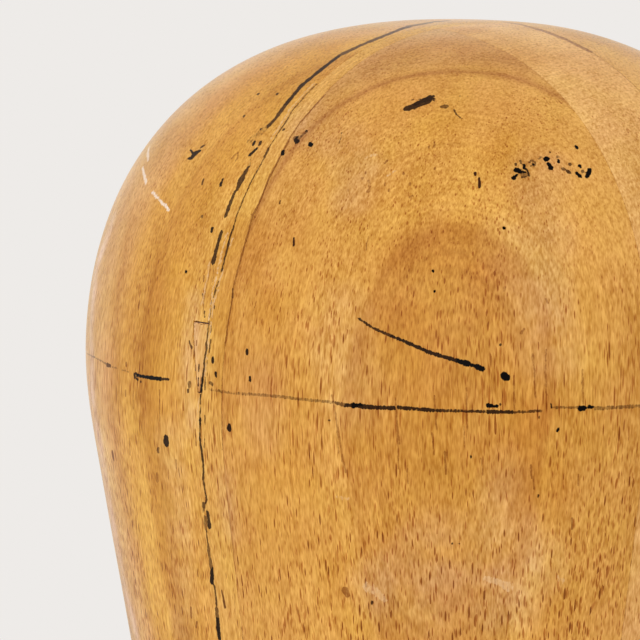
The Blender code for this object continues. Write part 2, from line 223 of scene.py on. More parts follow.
joint_marks = {
    "joint_top": ([(316.7, 84), (307.6, 93), (292, 111), (287, 120)], 1.2, 1.4, 0.68),
    "joint_upper": ([(287, 120), (283, 126), (279.5, 130.5)], 1.5, 1.0, 0.77),
    "joint_pale": ([(279.5, 130.5), (274.5, 139), (269.5, 146.5)], 1.0, 1.0, 0.59),
    "joint_blob": ([(268.7, 148.2), (264.6, 157.3)], 1.9, 2.0, 0.85),
    "joint_crown": ([(264.6, 157.3), (258.8, 168), (252, 180.5), (248, 188.8)], 1.2, 1.3, 0.79),
    "joint_crown_on": ([(248, 188.8), (243, 200.4), (237.2, 213.7), (233.9, 226)], 1.3, 1.1, 0.77),
    "joint_side": ([(233.9, 226), (229.8, 237.7), (226.9, 250)], 1.6, 2.2, 0.9),
    "joint_side_end": ([(226.9, 250), (224.6, 258), (221.4, 271.4)], 2.1, 1.6, 0.9),
    "joint_side_on": ([(218.4, 281.5), (214.6, 292), (213.4, 297)], 1.4, 1.4, 0.81),
    "joint_over_slip": ([(215.7, 290), (214.1, 294.6)], 1.5, 1.3, 0.77),
    "joint_beside_slip": ([(211.4, 300.5), (211, 308), (209.9, 317)], 1.1, 1.1, 0.63),
    "joint_dot": ([(214.3, 306), (214.3, 308.6)], 1.4, 1.4, 0.81),
    "joint_slip_side": ([(209.5, 321.4), (208.4, 326.8), (207.6, 336), (206.4, 343.6)], 1.4, 1.5, 0.72),
    "joint_slip_tip": ([(206.4, 343.6), (206.8, 348.6), (205.6, 355), (204.4, 361.3)], 2.0, 1.4, 0.88),
    "joint_beside": ([(211.4, 326.4), (211, 332.1)], 1.2, 1.0, 0.54),
    "joint_beside_on": ([(210.5, 339.8), (209.9, 346.7), (209.2, 352)], 1.5, 1.5, 0.85),
    "joint_to_line": ([(204.4, 361.3), (204.3, 368.3), (202.8, 377.9)], 1.6, 1.6, 0.89),
    "joint_at_line": ([(202.6, 378.5), (201.8, 385.5), (201.2, 391.9)], 2.5, 2.5, 0.98),
    "joint_thread": ([(201.2, 391.9), (200.5, 399.5), (200.4, 411), (200.2, 420)], 1.3, 1.3, 0.89),
    "joint_knot": ([(200.2, 420), (200.2, 423.5)], 2.6, 2.3, 0.98),
    "joint_mid": ([(200.2, 423.5), (200.2, 430.2), (200.1, 439.1)], 1.4, 1.8, 0.93),
    "joint_mid_on": ([(200.1, 439.1), (201, 446.7), (202.1, 454.4), (203, 461)], 2.0, 2.1, 0.93),
    "joint_low": ([(203, 461), (203.7, 469.5), (203.3, 480)], 1.8, 1.8, 0.89),
    "joint_lower": ([(203.3, 480), (205.3, 492.2), (206.8, 500.4), (204.8, 504)], 1.8, 1.6, 0.89),
    "joint_brown_knot": ([(203.9, 504.8), (203.6, 507)], 4.2, 3.8, 0.85),
    "joint_brown_tail": ([(203.6, 507), (203.3, 512)], 2.9, 1.8, 0.62),
    "joint_black_low": ([(207.3, 511.6), (208.6, 519), (209.4, 526)], 2.0, 4.0, 0.93),
    "joint_smear_low": ([(205.3, 518), (205.6, 528)], 3.1, 3.2, 0.58),
    "joint_thread_low": ([(206.6, 531), (206.8, 537), (207.6, 542)], 1.3, 1.4, 0.8),
    "joint_brown_low": ([(208, 543), (208.8, 552), (210.4, 560), (211.4, 568)], 2.2, 3.1, 0.76),
    "joint_blot_low": ([(211.8, 568), (212.2, 575), (211.8, 582)], 3.2, 4.0, 0.98),
    "joint_thin_low": ([(213.6, 583), (215, 588), (216, 597.3), (216.7, 604.5)], 1.4, 2.0, 0.85),
    "joint_smear_foot": ([(216.8, 609), (217.4, 618)], 3.2, 3.8, 0.8),
    "joint_black_foot": ([(217.6, 618), (218.2, 626), (219.3, 638)], 4.0, 3.5, 0.98),
    "dirt_beside_joint": ([(198.9, 364.8), (198.9, 371)], 1.6, 1.6, 0.85),
    "dirt_at_line": ([(198.5, 378.4), (198.4, 385.5)], 1.3, 1.3, 0.85),
    "dirt_link": ([(199.5, 384.4), (201.4, 384.6)], 1.0, 1.0, 0.77),
    "second_line_faint": ([(207.2, 361), (207.2, 375)], 1.0, 1.0, 0.41),
    "second_line_dark": ([(205.6, 377.5), (205.2, 389.3)], 1.4, 1.4, 0.79),
    "second_line_mid": ([(205, 415.5), (205.2, 423.8)], 1.4, 1.4, 0.72),
    "second_line_low": ([(204.9, 439), (204.5, 447.4)], 1.2, 1.2, 0.68),
    "dirt_over_slip": ([(204.5, 311.5), (204.5, 316.8)], 1.4, 1.3, 0.85),
    "dirt_speck": ([(202.4, 294.6), (202.4, 295.8)], 1.3, 1.3, 0.68),
    "dirt_left_of_slip": ([(189.2, 341), (190.4, 344.6), (191.7, 347.7)], 1.4, 2.0, 0.81),
}
blot_marks = {
    "slant_line_start": ([(358, 318), (373, 328), (390, 335.5)], 2.2, 2.9, 0.92),
    "slant_line": ([(390, 335.5), (411.8, 344.5)], 2.7, 3.6, 0.97),
    "slant_line_on": ([(411.8, 344.5), (430.2, 352.7), (456, 360.2)], 3.8, 4.1, 0.97),
    "slant_line_swell": ([(457, 360.4), (464, 362.6), (468, 363.8)], 4.5, 5.9, 1.0),
    "slant_line_neck": ([(468, 364), (475, 366.2)], 3.9, 3.4, 1.0),
    "slant_line_end": ([(476.8, 366.6), (482.2, 369)], 5.8, 5.5, 1.0),
    "slant_line_dot": ([(503.8, 375.2), (506.6, 377.4)], 6.9, 6.9, 1.0),
    "smear_tail": ([(407, 108.6), (413, 107), (418, 105.4)], 5.0, 4.3, 0.95),
    "smear_body": ([(416, 105), (422, 102.4), (429, 99.4)], 5.4, 6.5, 0.97),
    "smear_back": ([(419, 104.6), (428, 101.6)], 5.4, 4.3, 0.95),
    "smear_tip": ([(428, 98), (436, 99.4)], 3.4, 1.0, 0.95),
    "smear_bump_foot": ([(409, 109.6), (407.6, 110.4)], 3.4, 1.6, 0.95),
    "smear_bump_under": ([(416, 107.6), (414, 109.8)], 3.2, 1.6, 0.95),
    "smear_bump_over": ([(421.6, 100.6), (419.4, 99.4)], 2.8, 1.2, 0.9),
    "smear_bump_top": ([(429.4, 96.8), (433.4, 96.4)], 2.8, 2.0, 0.95),
    "smear_bump_right": ([(432.6, 99.6), (434.8, 101.6)], 2.6, 1.2, 0.9),
    "smear_speck": ([(411.6, 100.4), (413, 100)], 1.4, 1.2, 0.8),
    "wedge": ([(442, 107), (445.4, 106.6)], 2.4, 4.0, 0.78),
    "hair": ([(453.8, 109.8), (456.5, 114.5), (461.3, 118.4)], 2.0, 1.5, 0.85),
    "dust_a": ([(460, 96)], 1.4, 1.4, 0.8),
    "dust_b": ([(467.6, 96.6)], 1.4, 1.4, 0.8),
    "cluster_a": ([(516.4, 170), (518.4, 170.6)], 5.2, 5.2, 1.0),
    "cluster_b": ([(520, 172), (525, 172.2)], 3.1, 2.8, 1.0),
    "cluster_c": ([(525.2, 168.8), (527.8, 171), (528.8, 175.2)], 2.6, 2.8, 0.95),
    "cluster_d": ([(524, 164.6), (524.1, 168)], 2.6, 3.1, 1.0),
    "cluster_e": ([(522.4, 177), (525, 176.4)], 2.6, 2.6, 0.85),
    "cluster_f": ([(513.8, 178.2), (515.6, 176.2), (517.2, 174.4)], 4.4, 2.6, 1.0),
    "cluster_g": ([(515.8, 163.6), (515.8, 165)], 2.4, 2.4, 0.85),
    "cluster_h": ([(520.5, 161), (521, 163.4)], 2.4, 2.4, 0.75),
    "cluster_i": ([(526.6, 174.4), (523.6, 174.8)], 2.6, 4.4, 0.6),
    "ring_stain": ([(529.4, 162), (532, 160.4), (535, 162), (534.6, 165.6), (531, 166)], 2.0, 2.0, 0.65),
    "ring_stain_dot": ([(533.7, 164.4)], 3.1, 3.1, 1.0),
    "round_blot": ([(546.1, 159.2), (546.7, 158.6)], 5.7, 5.7, 1.0),
    "round_blot_tail": ([(548.1, 163.5), (549.8, 165.6), (551, 168)], 2.8, 4.1, 1.0),
    "speck_a": ([(538.7, 158.8), (541.6, 157)], 2.0, 1.6, 0.65),
    "speck_b": ([(549.9, 152.3)], 2.0, 2.0, 0.85),
    "speck_c": ([(558.4, 160), (558.4, 162)], 2.8, 2.8, 1.0),
    "speck_d": ([(558, 156.7)], 3.4, 3.4, 0.65),
    "speck_e": ([(570, 164.4)], 3.6, 3.6, 0.8),
    "speck_f": ([(579.5, 165.4), (579.9, 166.4)], 3.6, 3.6, 1.0),
    "speck_g": ([(563, 168.8), (564.4, 169.6)], 3.1, 2.6, 0.75),
    "speck_h": ([(567, 171), (569.4, 172.4)], 3.1, 3.4, 0.9),
    "speck_i": ([(576.5, 173), (579.8, 176)], 3.1, 3.4, 1.0),
    "speck_j": ([(582.7, 171.4)], 3.6, 3.6, 0.75),
    "speck_k": ([(575.8, 146), (576.9, 147.6)], 2.8, 3.4, 1.0),
    "brow_edge_blot": ([(589.6, 169.6), (588.4, 173.6), (586.8, 176.8)], 4.6, 4.4, 1.0),
    "fork_body": ([(192.4, 156.8), (194.4, 154)], 3.5, 4.0, 0.97),
    "fork_foot": ([(192.2, 157.6), (188.2, 158.5)], 3.8, 1.8, 0.97),
    "fork_left": ([(193.4, 154), (190.3, 149.8)], 3.2, 1.6, 0.97),
    "fork_right": ([(195.4, 153.6), (198, 151.6), (200.3, 150.7)], 3.8, 2.0, 0.97),
    "fork_dash": ([(201.1, 147), (204.9, 145)], 2.0, 1.6, 0.9),
    "blot_over_joint": ([(296.4, 138.6), (297.3, 141.6)], 6.4, 5.5, 0.98),
    "blot_over_joint_left": ([(294.6, 138)], 3.7, 3.7, 0.68),
    "blot_over_joint_tail": ([(299, 138.4), (303, 134.8), (306, 132.2)], 2.9, 2.3, 0.63),
    "blot_over_joint_speck": ([(306.2, 131.6)], 3.1, 3.1, 1.0),
    "blot_beside_joint": ([(309.6, 143.8), (311.4, 145)], 4.3, 4.9, 1.0),
    "blot_on_joint": ([(282.8, 152), (282.8, 154)], 4.3, 4.3, 1.0),
    "mark_above_joint": ([(280.3, 201.6), (280.2, 203.4)], 1.9, 1.9, 0.8),
    "hairline_on_crown": ([(341.8, 133), (341.4, 138), (339, 144)], 0.9, 0.8, 0.75),
    "dot_a": ([(258, 94)], 2.6, 2.6, 0.92),
    "dot_b": ([(277, 94)], 2.6, 2.6, 0.92),
    "dot_c": ([(244, 116)], 2.6, 2.6, 0.92),
    "dot_d": ([(260.9, 129.4)], 3.4, 3.4, 0.97),
    "dot_e": ([(253.9, 142.4), (253.2, 144.4)], 2.8, 2.6, 0.97),
    "dot_f": ([(260.4, 142.2), (259.6, 144.4)], 2.8, 2.4, 0.92),
    "dot_g": ([(283.7, 129.5)], 2.6, 2.6, 0.92),
    "dot_h": ([(221.2, 182.6), (220.8, 185)], 2.8, 2.8, 0.97),
    "dot_i": ([(222.4, 179.4), (222.2, 180.4)], 2.0, 2.0, 0.97),
    "dot_j": ([(203.2, 180), (202.2, 184.4)], 1.8, 1.7, 0.82),
    "dot_k": ([(202, 216.6)], 3.1, 3.1, 0.72),
    "dot_l": ([(212, 228.8), (211.6, 231)], 2.8, 2.8, 0.97),
    "dot_m": ([(186, 271.6)], 3.1, 3.1, 1.0),
    "dot_n": ([(213, 358.6), (213, 361.8)], 2.6, 2.6, 0.97),
    "dot_o": ([(215.8, 373.6), (216.3, 376)], 2.8, 2.4, 0.97),
    "dot_p": ([(247, 350.4), (247, 353.6)], 2.8, 2.8, 0.97),
    "dot_q": ([(250, 377.6), (250, 380.4)], 2.6, 2.6, 0.97),
    "diamond": ([(166.3, 438.8), (166.3, 442)], 5.2, 5.9, 0.97),
    "diamond_edge": ([(164.4, 440.8), (168.2, 440.4)], 3.8, 3.4, 0.97),
    "dot_under_diamond": ([(158.6, 448), (158, 450.8)], 1.8, 3.1, 0.72),
    "droplet": ([(229, 424), (229.2, 428.6)], 1.8, 4.9, 0.97),
    "dot_r": ([(329.2, 420.4)], 2.2, 2.2, 0.85),
    "dot_s": ([(500.2, 345.1)], 2.9, 2.9, 0.9),
    "dot_t": ([(557.4, 431), (558.2, 429)], 2.9, 3.1, 1.0),
    "dot_u": ([(471.3, 455.6), (471.6, 457.2)], 2.2, 2.5, 1.0),
    "dot_v": ([(452.6, 543.5)], 2.1, 2.1, 0.9),
    "dot_w": ([(459.3, 543.5)], 2.0, 2.0, 0.9),
    "dot_x": ([(372, 602), (372, 604)], 2.9, 2.9, 0.9),
    "dot_y": ([(538.7, 416.4), (538.7, 418.6)], 1.8, 1.6, 0.85),
    "dot_z": ([(538.2, 495.4), (538, 497)], 2.1, 2.1, 0.9),
    # The pin holes are painted dark inside.
    "hole_on_brow_darkened": ([(504, 228)], 3.2, 3.2, 1.0),
    "hole_on_temple_darkened": ([(433, 271)], 2.8, 2.8, 1.0),
    "hole_low_darkened": ([(434.5, 291)], 2.8, 2.8, 1.0),
}
bruise_marks = {
    "slip_top_edge": ([(195, 322.9), (196.5, 320.8), (198.4, 322.9), (201, 324.4)], 1.3, 1.3, 0.8),
    "slip_top_edge_on": ([(201, 324.4), (205.7, 323.4), (208.8, 321.8)], 1.2, 1.4, 0.8),
    "worn_brown": ([(210.7, 262), (208.6, 277), (205.7, 290), (203.6, 304), (202.9, 315.7)], 1.1, 1.0, 0.5),
    "worn_orange": ([(212.9, 264.3), (213.4, 277), (210.7, 287)], 1.3, 1.1, 0.45),
    "worn_dash": ([(203.8, 276), (203.4, 281)], 1.6, 1.4, 0.7),
    "worn_dash_low": ([(203, 294), (202.8, 298)], 1.3, 1.3, 0.6),
    "slip_left_edge": ([(193.2, 324.5), (194.6, 327.5), (193.9, 337)], 1.0, 0.9, 0.45),
    "slip_grain": ([(196.5, 341), (196.6, 345)], 1.5, 1.4, 0.7),
    "front_joint_crown": ([(325, 95), (315.7, 105), (301, 121.6), (290.3, 137.4)], 1.5, 1.6, 0.67),
    "front_joint_upper": ([(290.3, 137.4), (282.4, 152.6), (275.4, 166.4), (268.7, 178.9)], 1.8, 1.8, 0.77),
    "front_joint_side": ([(268.7, 178.9), (263.7, 193), (258, 206.2), (253, 215.4)], 1.9, 1.9, 0.8),
    "front_joint_fork": ([(251.2, 214.2), (255.4, 217.4)], 1.8, 1.8, 0.62),
    "front_joint_side_on": ([(253, 215.4), (248, 233.6), (243, 250)], 1.9, 1.9, 0.77),
    "front_joint_ear": ([(243, 250), (241.4, 256), (237, 272), (233.2, 288)], 1.6, 1.6, 0.72),
    "front_joint_dark": ([(232.8, 289), (232.3, 297.5)], 2.0, 2.0, 0.92),
    "front_joint_low": ([(231.9, 300), (230.2, 311.5), (228.3, 320.7), (227.2, 326.4)], 1.5, 1.5, 0.72),
    "front_joint_lower": ([(227.2, 326.4), (226.4, 336.8), (225.2, 342.9)], 1.5, 1.5, 0.72),
    "front_joint_faint": (
        [(225.2, 342.9), (224.3, 355), (222.6, 371), (221.8, 395), (222.2, 416)], 1.0, 1.0, 0.22
    ),
    "front_joint_foot": ([(222.2, 416), (222.2, 430), (222.5, 449)], 1.4, 1.4, 0.37),
    "third_line": ([(256.4, 300), (254.6, 307), (251.8, 315)], 1.0, 0.9, 0.45),
    "slot_on_brow": ([(479.3, 178), (479.4, 183), (479.4, 187.2)], 2.2, 3.4, 1.0),
    "red_dot": ([(475.2, 173), (475.4, 174.8)], 3.2, 3.2, 1.0),
    "slot_beside_joint": ([(294, 238.4), (293.9, 245.2)], 1.9, 2.5, 1.0),
    "ring_mark_left": ([(231.4, 158.4), (234, 155.4), (237.4, 152.4)], 1.3, 1.2, 0.5),
    "ring_mark_right": ([(238, 153), (237.8, 157), (235.6, 160.6)], 1.3, 1.6, 0.5),
    "brown_speck_nape": ([(126.3, 363.4), (126.3, 365.4)], 1.6, 1.6, 0.7),
    "brown_speck_low": ([(125.7, 391), (125.8, 395)], 1.5, 1.5, 0.5),
    "nape_slit": ([(112.6, 452.6), (113.2, 458)], 1.6, 1.9, 0.85),
    "nape_slit_tail": ([(113.3, 459), (113.8, 478)], 0.9, 0.9, 0.35),
    "hairline_behind_ear": ([(159.4, 390), (159.6, 405), (160, 421)], 1.0, 0.9, 0.6),
    "hairline_under_stroke": ([(133.6, 391), (133.6, 411)], 0.9, 0.9, 0.4),
    "streak_at_nape": ([(129.6, 438), (130, 455)], 1.1, 1.0, 0.45),
    "streak_at_joint": ([(195.4, 429.5), (195.9, 437), (196.2, 445.5)], 1.3, 1.5, 0.65),
    "streak_low_a": ([(176, 460), (176.4, 468)], 1.4, 1.4, 0.6),
    "smudge_low": ([(157, 474), (156.8, 480)], 2.4, 2.8, 0.45),
    "streak_low_b": ([(221.6, 590), (223.4, 598), (225, 606.6)], 1.1, 2.4, 0.9),
    "streak_low_c": ([(197.7, 569), (197.8, 576)], 1.4, 1.4, 0.6),
    "streak_low_d": ([(191, 608), (191.4, 617)], 1.9, 1.9, 0.65),
    "streak_low_e": ([(197.2, 622), (196.2, 627)], 1.8, 2.0, 0.7),
    "hairline_low": ([(233.6, 582), (234.4, 596), (235, 612)], 0.9, 0.9, 0.4),
    "check_under_line": ([(395.3, 398), (396, 412), (397, 425), (399.6, 444)], 2.0, 1.6, 0.52),
    "check_at_line": ([(434.4, 396), (435.6, 414), (437, 430)], 2.0, 1.6, 0.52),
    "check_at_cheek": ([(466.6, 388), (467, 410), (467.4, 432)], 1.9, 1.6, 0.52),
    "check_at_temple": ([(514, 376), (514, 392), (514.6, 413)], 2.0, 2.1, 0.45),
    "check_at_brow_a": ([(532.6, 354), (534.4, 372), (535.4, 398)], 2.4, 2.0, 0.45),
    "check_at_brow_b": ([(546, 350), (545.4, 372), (546.6, 396)], 2.4, 2.1, 0.45),
    "check_at_brow_c": ([(582.6, 370), (582.8, 392), (583, 404)], 2.4, 2.1, 0.45),
    "check_by_ear": ([(332, 395), (338, 430), (345, 470)], 1.9, 1.6, 0.52),
    "dark_streak_a": ([(432, 433), (433.4, 445), (434, 455)], 1.6, 1.6, 0.62),
    "dark_streak_b": ([(481, 458), (482.4, 468), (483, 475)], 1.4, 1.3, 0.62),
    "dark_streak_c": ([(531, 465), (531.6, 478)], 2.3, 2.1, 0.62),
    "dark_streak_d": ([(533.6, 476), (534, 490)], 1.6, 1.5, 0.62),
    "dark_streak_e": ([(578, 474), (578.2, 486)], 2.0, 1.7, 0.62),
    "dark_streak_f": ([(572, 518), (572.2, 529)], 2.3, 2.1, 0.62),
    "streak_mid_a": ([(396, 425), (398, 445), (398.6, 470)], 1.6, 1.4, 0.55),
    "streak_mid_b": ([(445, 452), (446, 474)], 2.6, 1.8, 0.6),
    "streak_mid_c": ([(341.6, 452), (343, 462), (346, 472)], 2.0, 2.6, 0.45),
    "streak_mid_d": ([(337, 424), (337.6, 440), (339, 456)], 1.4, 1.2, 0.4),
    "streak_mid_e": ([(464, 426), (464.6, 450)], 1.2, 1.1, 0.5),
    "streak_mid_f": ([(407, 466), (408, 484)], 1.5, 1.3, 0.5),
    "stain_at_cheek": ([(504.6, 287), (503.8, 291)], 2.6, 2.4, 0.45),
    "stain_at_temple": ([(524, 329), (521.4, 333)], 2.4, 2.6, 0.5),
    "stain_on_brow": ([(546, 299), (548, 303)], 2.2, 2.0, 0.5),
    "resin_spot": ([(345.4, 590.6), (347, 594.6)], 7.2, 5.0, 0.7),
    "resin_rim": ([(344, 589), (345.2, 593)], 1.5, 1.5, 0.8),
    "dark_smudge_brow": ([(368.4, 180), (369.8, 186), (368, 191)], 2.6, 3.2, 0.35),
    "dent_a": ([(365.6, 172), (365.4, 173.6)], 2.0, 2.0, 0.6),
    "dent_b": ([(362.4, 178), (362.2, 179)], 2.2, 2.2, 0.6),
    "dent_c": ([(348, 189.6), (348, 191)], 2.0, 2.0, 0.5),
    "dent_d": ([(387, 161), (385, 163)], 2.4, 2.0, 0.6),
    "dent_e": ([(385, 183), (384.8, 185)], 1.8, 1.8, 0.6),
    "dent_f": ([(388.8, 189.4), (388.6, 191)], 1.9, 1.9, 0.6),
    "dent_g": ([(403.2, 172.6), (403.6, 174)], 2.2, 2.2, 0.65),
    "dent_h": ([(409.8, 183.6), (409.8, 184.6)], 3.0, 3.0, 0.6),
    "dent_i": ([(409.6, 197.6), (412.2, 195.8)], 2.2, 2.0, 0.5),
    "dent_j": ([(429, 146.4), (428.8, 148)], 2.2, 2.2, 0.65),
    "dent_k": ([(434.2, 140), (434.4, 147)], 1.6, 1.8, 0.5),
    "dent_l": ([(434.6, 168), (434.6, 169.4)], 1.9, 1.9, 0.65),
    "fine_check_a": ([(367.6, 224.6), (367.4, 228.6)], 1.4, 1.3, 0.6),
    "fine_check_b": ([(368.4, 236), (366.6, 243), (365.8, 250)], 1.4, 1.4, 0.8),
    "glue_in_core_joint": (
        [(503.7, 21.6), (520, 24.4), (544.5, 31.3), (564.9, 38.9), (589.4, 51)], 1.4, 2.6, 0.6
    ),
}
chalk_and_highlight_marks = {
    "chalk_upper": ([(149, 148), (148, 154), (148.4, 160)], 1.6, 2.4, 0.85),
    "chalk_middle": ([(142.6, 168), (144.6, 176), (146.4, 183)], 2.0, 2.6, 0.9),
    "chalk_lower": ([(152.4, 192), (158, 198), (163, 204), (169, 210.4)], 2.6, 2.2, 0.9),
    "chalk_fleck": ([(165.4, 204.6), (169.4, 210)], 1.4, 2.6, 1.0),
    "scuff_low": ([(486, 579), (497, 582), (508, 587)], 5.0, 8.0, 0.5),
    "scuff_low_edge": ([(487, 580), (500, 582)], 1.4, 1.6, 0.6),
    "scuff_under_ear": ([(366, 587), (376, 592), (384, 599)], 7.0, 6.0, 0.4),
    "scuff_on_cheek": ([(337, 496), (349, 500)], 3.0, 2.4, 0.3),
    "scuff_right": ([(558, 578), (563, 581)], 4.0, 3.4, 0.3),
    "chalk_on_crown": ([(365, 157.6), (371, 155.6), (377, 154.4)], 1.4, 1.6, 0.35),
    "scratch_on_brow": ([(385, 178), (391, 173.4), (397.6, 169.6)], 1.0, 1.0, 0.35),
    # Painted highlight: pale strokes along both edges of the rear joint's crack and the brown line beside it,
    # where their rounded edges catch the light.
    "joint_edge_highlight": ([(314, 83.6), (304, 93.4), (289, 110.6), (280, 125.6), (271, 138.6)], 1.2, 1.2, 0.5),
    "joint_highlight_left_upper": ([(227, 234), (223, 246), (221.2, 256), (217.8, 270)], 1.5, 1.6, 0.5),
    "joint_highlight_left": ([(217.4, 272.9), (212.4, 291.4), (210.2, 310), (208.9, 320)], 1.5, 1.4, 0.55),
    "joint_highlight_right_upper": ([(232.8, 238.6), (229.6, 247)], 1.2, 1.0, 0.5),
    "joint_highlight_right": ([(222.7, 271), (219.6, 280), (217, 293), (214.6, 301)], 1.3, 1.3, 0.5),
    "crease_highlight_far_left": ([(209.4, 262), (207.2, 277), (204.2, 290), (201.8, 304)], 1.4, 1.6, 0.45),
    "joint_highlight_at_line": ([(207.6, 345), (206, 362), (205.2, 376)], 1.3, 1.2, 0.5),
    "joint_highlight_under_line": ([(198.8, 396), (198.2, 420), (198.4, 440)], 1.3, 1.2, 0.4),
    "joint_highlight_side": ([(213.6, 296), (213.4, 302), (212.6, 309), (212, 317)], 1.6, 1.6, 0.5),
    "joint_highlight_slip_side": ([(211, 323), (209.6, 334), (208.4, 342), (208.6, 349)], 1.2, 1.2, 0.55),
}
pin_holes = {
    "hole_on_brow": ((504, 228), 3.0),
    "pin_hole_temple": ((433, 271), 2.2),
    "pin_hole_low_temple": ((434.5, 291), 2.4),
}


def on_ball(place, triangle):
    """A point of the form with the ball's spot that carries it."""
    corners = ball_triangles[triangle]
    form_corners = [form_points[corner] for corner in corners]
    ball_corners = [ball_points[corner] for corner in corners]
    return place, barycentric_transform(place, *form_corners, *ball_corners).normalized()


def sighted(pixel):
    """The point of the form that a pixel of the photograph shows, the ball's spot for it, and its normal."""
    across = (pixel[0] - PHOTO_SIDE / 2) * PIXEL_ANGLE
    down = (pixel[1] - PHOTO_SIDE / 2) * PIXEL_ANGLE
    direction = Euler(camera.rotation_euler).to_matrix() @ Vector((across, -down, -1))
    place, normal, triangle, _ = form_tree.ray_cast(CAMERA_PLACE, direction.normalized())
    return *on_ball(place, triangle), normal


def nearest(place):
    """The point of the form nearest to a place, with the ball's spot for it."""
    near, _, triangle, _ = form_tree.find_nearest(place)
    return on_ball(near, triangle)


def followed(pixels):
    """The stations of a mark every few pixels along its line, each with what a pixel across it measures."""
    seen = [sighted(pixels[0])]
    for start, end in zip(pixels, pixels[1:]):
        steps = max(1, math.ceil(math.dist(start, end) / STATION_STEP))
        for step in range(1, steps + 1):
            share = step / steps
            seen.append(sighted([a + (b - a) * share for a, b in zip(start, end)]))
    stations = []
    for number, (place, spot, normal) in enumerate(seen):
        sight = place - CAMERA_PLACE
        pixel_size = sight.length * PIXEL_ANGLE
        sight.normalize()
        facing = max(LEAST_FACING, abs(normal.dot(sight)))
        along = seen[min(number + 1, len(seen) - 1)][0] - seen[max(number - 1, 0)][0]
        if along.length > 0:
            along.normalize()
            drawn_out = (along - sight * along.dot(sight)).length / facing
        else:
            drawn_out = 1 / math.sqrt(facing)
        stations.append((place, spot, pixel_size * drawn_out))
    return stations


def traced(stations, width_at_start, width_at_end):
    """Points closely spaced through the stations, each with the ball's spot and half the mark's width."""
    whole = max(1, len(stations) - 1)
    samples = [(stations[0][0], stations[0][1], width_at_start * stations[0][2] / 2)]
    for number, (start, end) in enumerate(zip(stations, stations[1:])):
        steps = max(1, math.ceil((end[0] - start[0]).length / MARK_STEP))
        for step in range(1, steps + 1):
            share = step / steps
            width = width_at_start + (width_at_end - width_at_start) * (number + share) / whole
            width *= start[2] + (end[2] - start[2]) * share
            place = start[0].lerp(end[0], share)
            width *= 1 + SWELL * noise.noise(place / SWELL_LENGTH)
            samples.append((place, start[1].lerp(end[1], share).normalized(), width / 2))
    return samples


marks = []
for kind, named in (
    (INK, head_line_marks),
    (INK, crown_line_marks),
    (INK, joint_marks),
    (INK, blot_marks),
    (BRUISE, bruise_marks),
    (CHALK_AND_HIGHLIGHT, chalk_and_highlight_marks),
):
    for pixels, width_at_start, width_at_end, hiding in named.values():
        marks.append((kind, hiding, traced(followed(pixels), width_at_start, width_at_end)))
seen_marks = len(marks)

# The lines and the dirty joints go on round the sides that the photograph doesn't show, as strokes broken
# in the same way. The fitting line over the crown comes down at the other ear too. Widths are in mm, runs
# and gaps in stations, and arcs in degrees up from the left ear, round the middle of a joint.
UNSEEN_MARKS = random.Random(7)
LINE_WIDTH = (0.5, 0.9)
JOINT_WIDTH = (0.3, 0.55)
FINE_JOINT_WIDTH = (0.25, 0.35)
JOINT_RUNS = (3, 9)
JOINT_GAPS = (0, 1)
JOINT_HEART = 120 * MM
LEFT_SIDE_ARC = (-64, 88)
LOW_RIGHT_ARC = (158, 244)
CORE_GLUE_STEP = 3
UNSEEN_DOTS = 34
DOT_WIDTH = (0.4, 0.9)
DOT_BEARINGS = (25, 240)
DOT_LEVELS = (30 * MM, CROWN_LEVEL - 6 * MM)
DOT_HIDINGS = (0.6, 1.0)


def stroked(kind, stations, widths, runs, gaps, hidings):
    """Lays a line down as strokes and gaps, each with a run, a width and a hiding drawn from its range."""
    place = 0
    while place < len(stations) - 1:
        run = UNSEEN_MARKS.randint(*runs)
        stroke = stations[place : place + run + 1]
        samples = traced(stroke, UNSEEN_MARKS.uniform(*widths), UNSEEN_MARKS.uniform(*widths))
        marks.append((kind, UNSEEN_MARKS.uniform(*hidings), samples))
        place += run + UNSEEN_MARKS.randint(*gaps)


def round_line(start, end):
    """Stations along the head-size line, from one bearing to another, a degree apart."""
    return [(*nearest(skin_point(LINE_LEVEL, math.radians(bearing))), MM) for bearing in range(start, end)]


def round_joint(point, normal, start, end):
    """Stations where a joint's plane meets the skin, as the angle round its middle goes from start to end."""
    across = leftward - normal * leftward.dot(normal)
    upward = normal.cross(across)
    if upward.z < 0:
        upward.negate()
    heart = point + upward * (JOINT_HEART - point.z)
    stations = []
    for angle in range(start, end):
        outward = across * math.cos(math.radians(angle)) + upward * math.sin(math.radians(angle))
        place, _, triangle, _ = form_tree.ray_cast(heart, outward.normalized())
        stations.append((*on_ball(place, triangle), MM))
    return stations


nape_end = sighted((87.5, 353.4))[0]
brow_end = sighted((593, 407))[0]
core_glue_end = sighted((589.4, 51))[0]
first_bearing = math.ceil(math.degrees(math.atan2(brow_end.x, FOOT_SHIFT - brow_end.y)))
last_bearing = math.floor(math.degrees(math.atan2(nape_end.x, FOOT_SHIFT - nape_end.y))) % 360
head_line = round_line(first_bearing, last_bearing)
stroked(INK, head_line, LINE_WIDTH, runs=(4, 22), gaps=(0, 2), hidings=(0.55, 1.0))
mirrored = []
for pixels, _, _, _ in crown_line_marks.values():
    for place, _, _ in followed(pixels):
        mirrored.append((*nearest(Vector((-place.x, place.y, place.z))), MM))
mirrored.sort(key=lambda station: -station[0].z)
stroked(INK, mirrored, LINE_WIDTH, runs=(4, 12), gaps=(1, 3), hidings=(0.6, 1.0))
for point, normal, widths, kind, hidings in (
    (rear_point, rearward, JOINT_WIDTH, INK, (0.7, 1.0)),
    (front_point, forward, FINE_JOINT_WIDTH, BRUISE, (0.4, 0.8)),
):
    for arc in (LEFT_SIDE_ARC, LOW_RIGHT_ARC):
        stroked(kind, round_joint(point, normal, *arc), widths, JOINT_RUNS, JOINT_GAPS, hidings)
core_glue = []
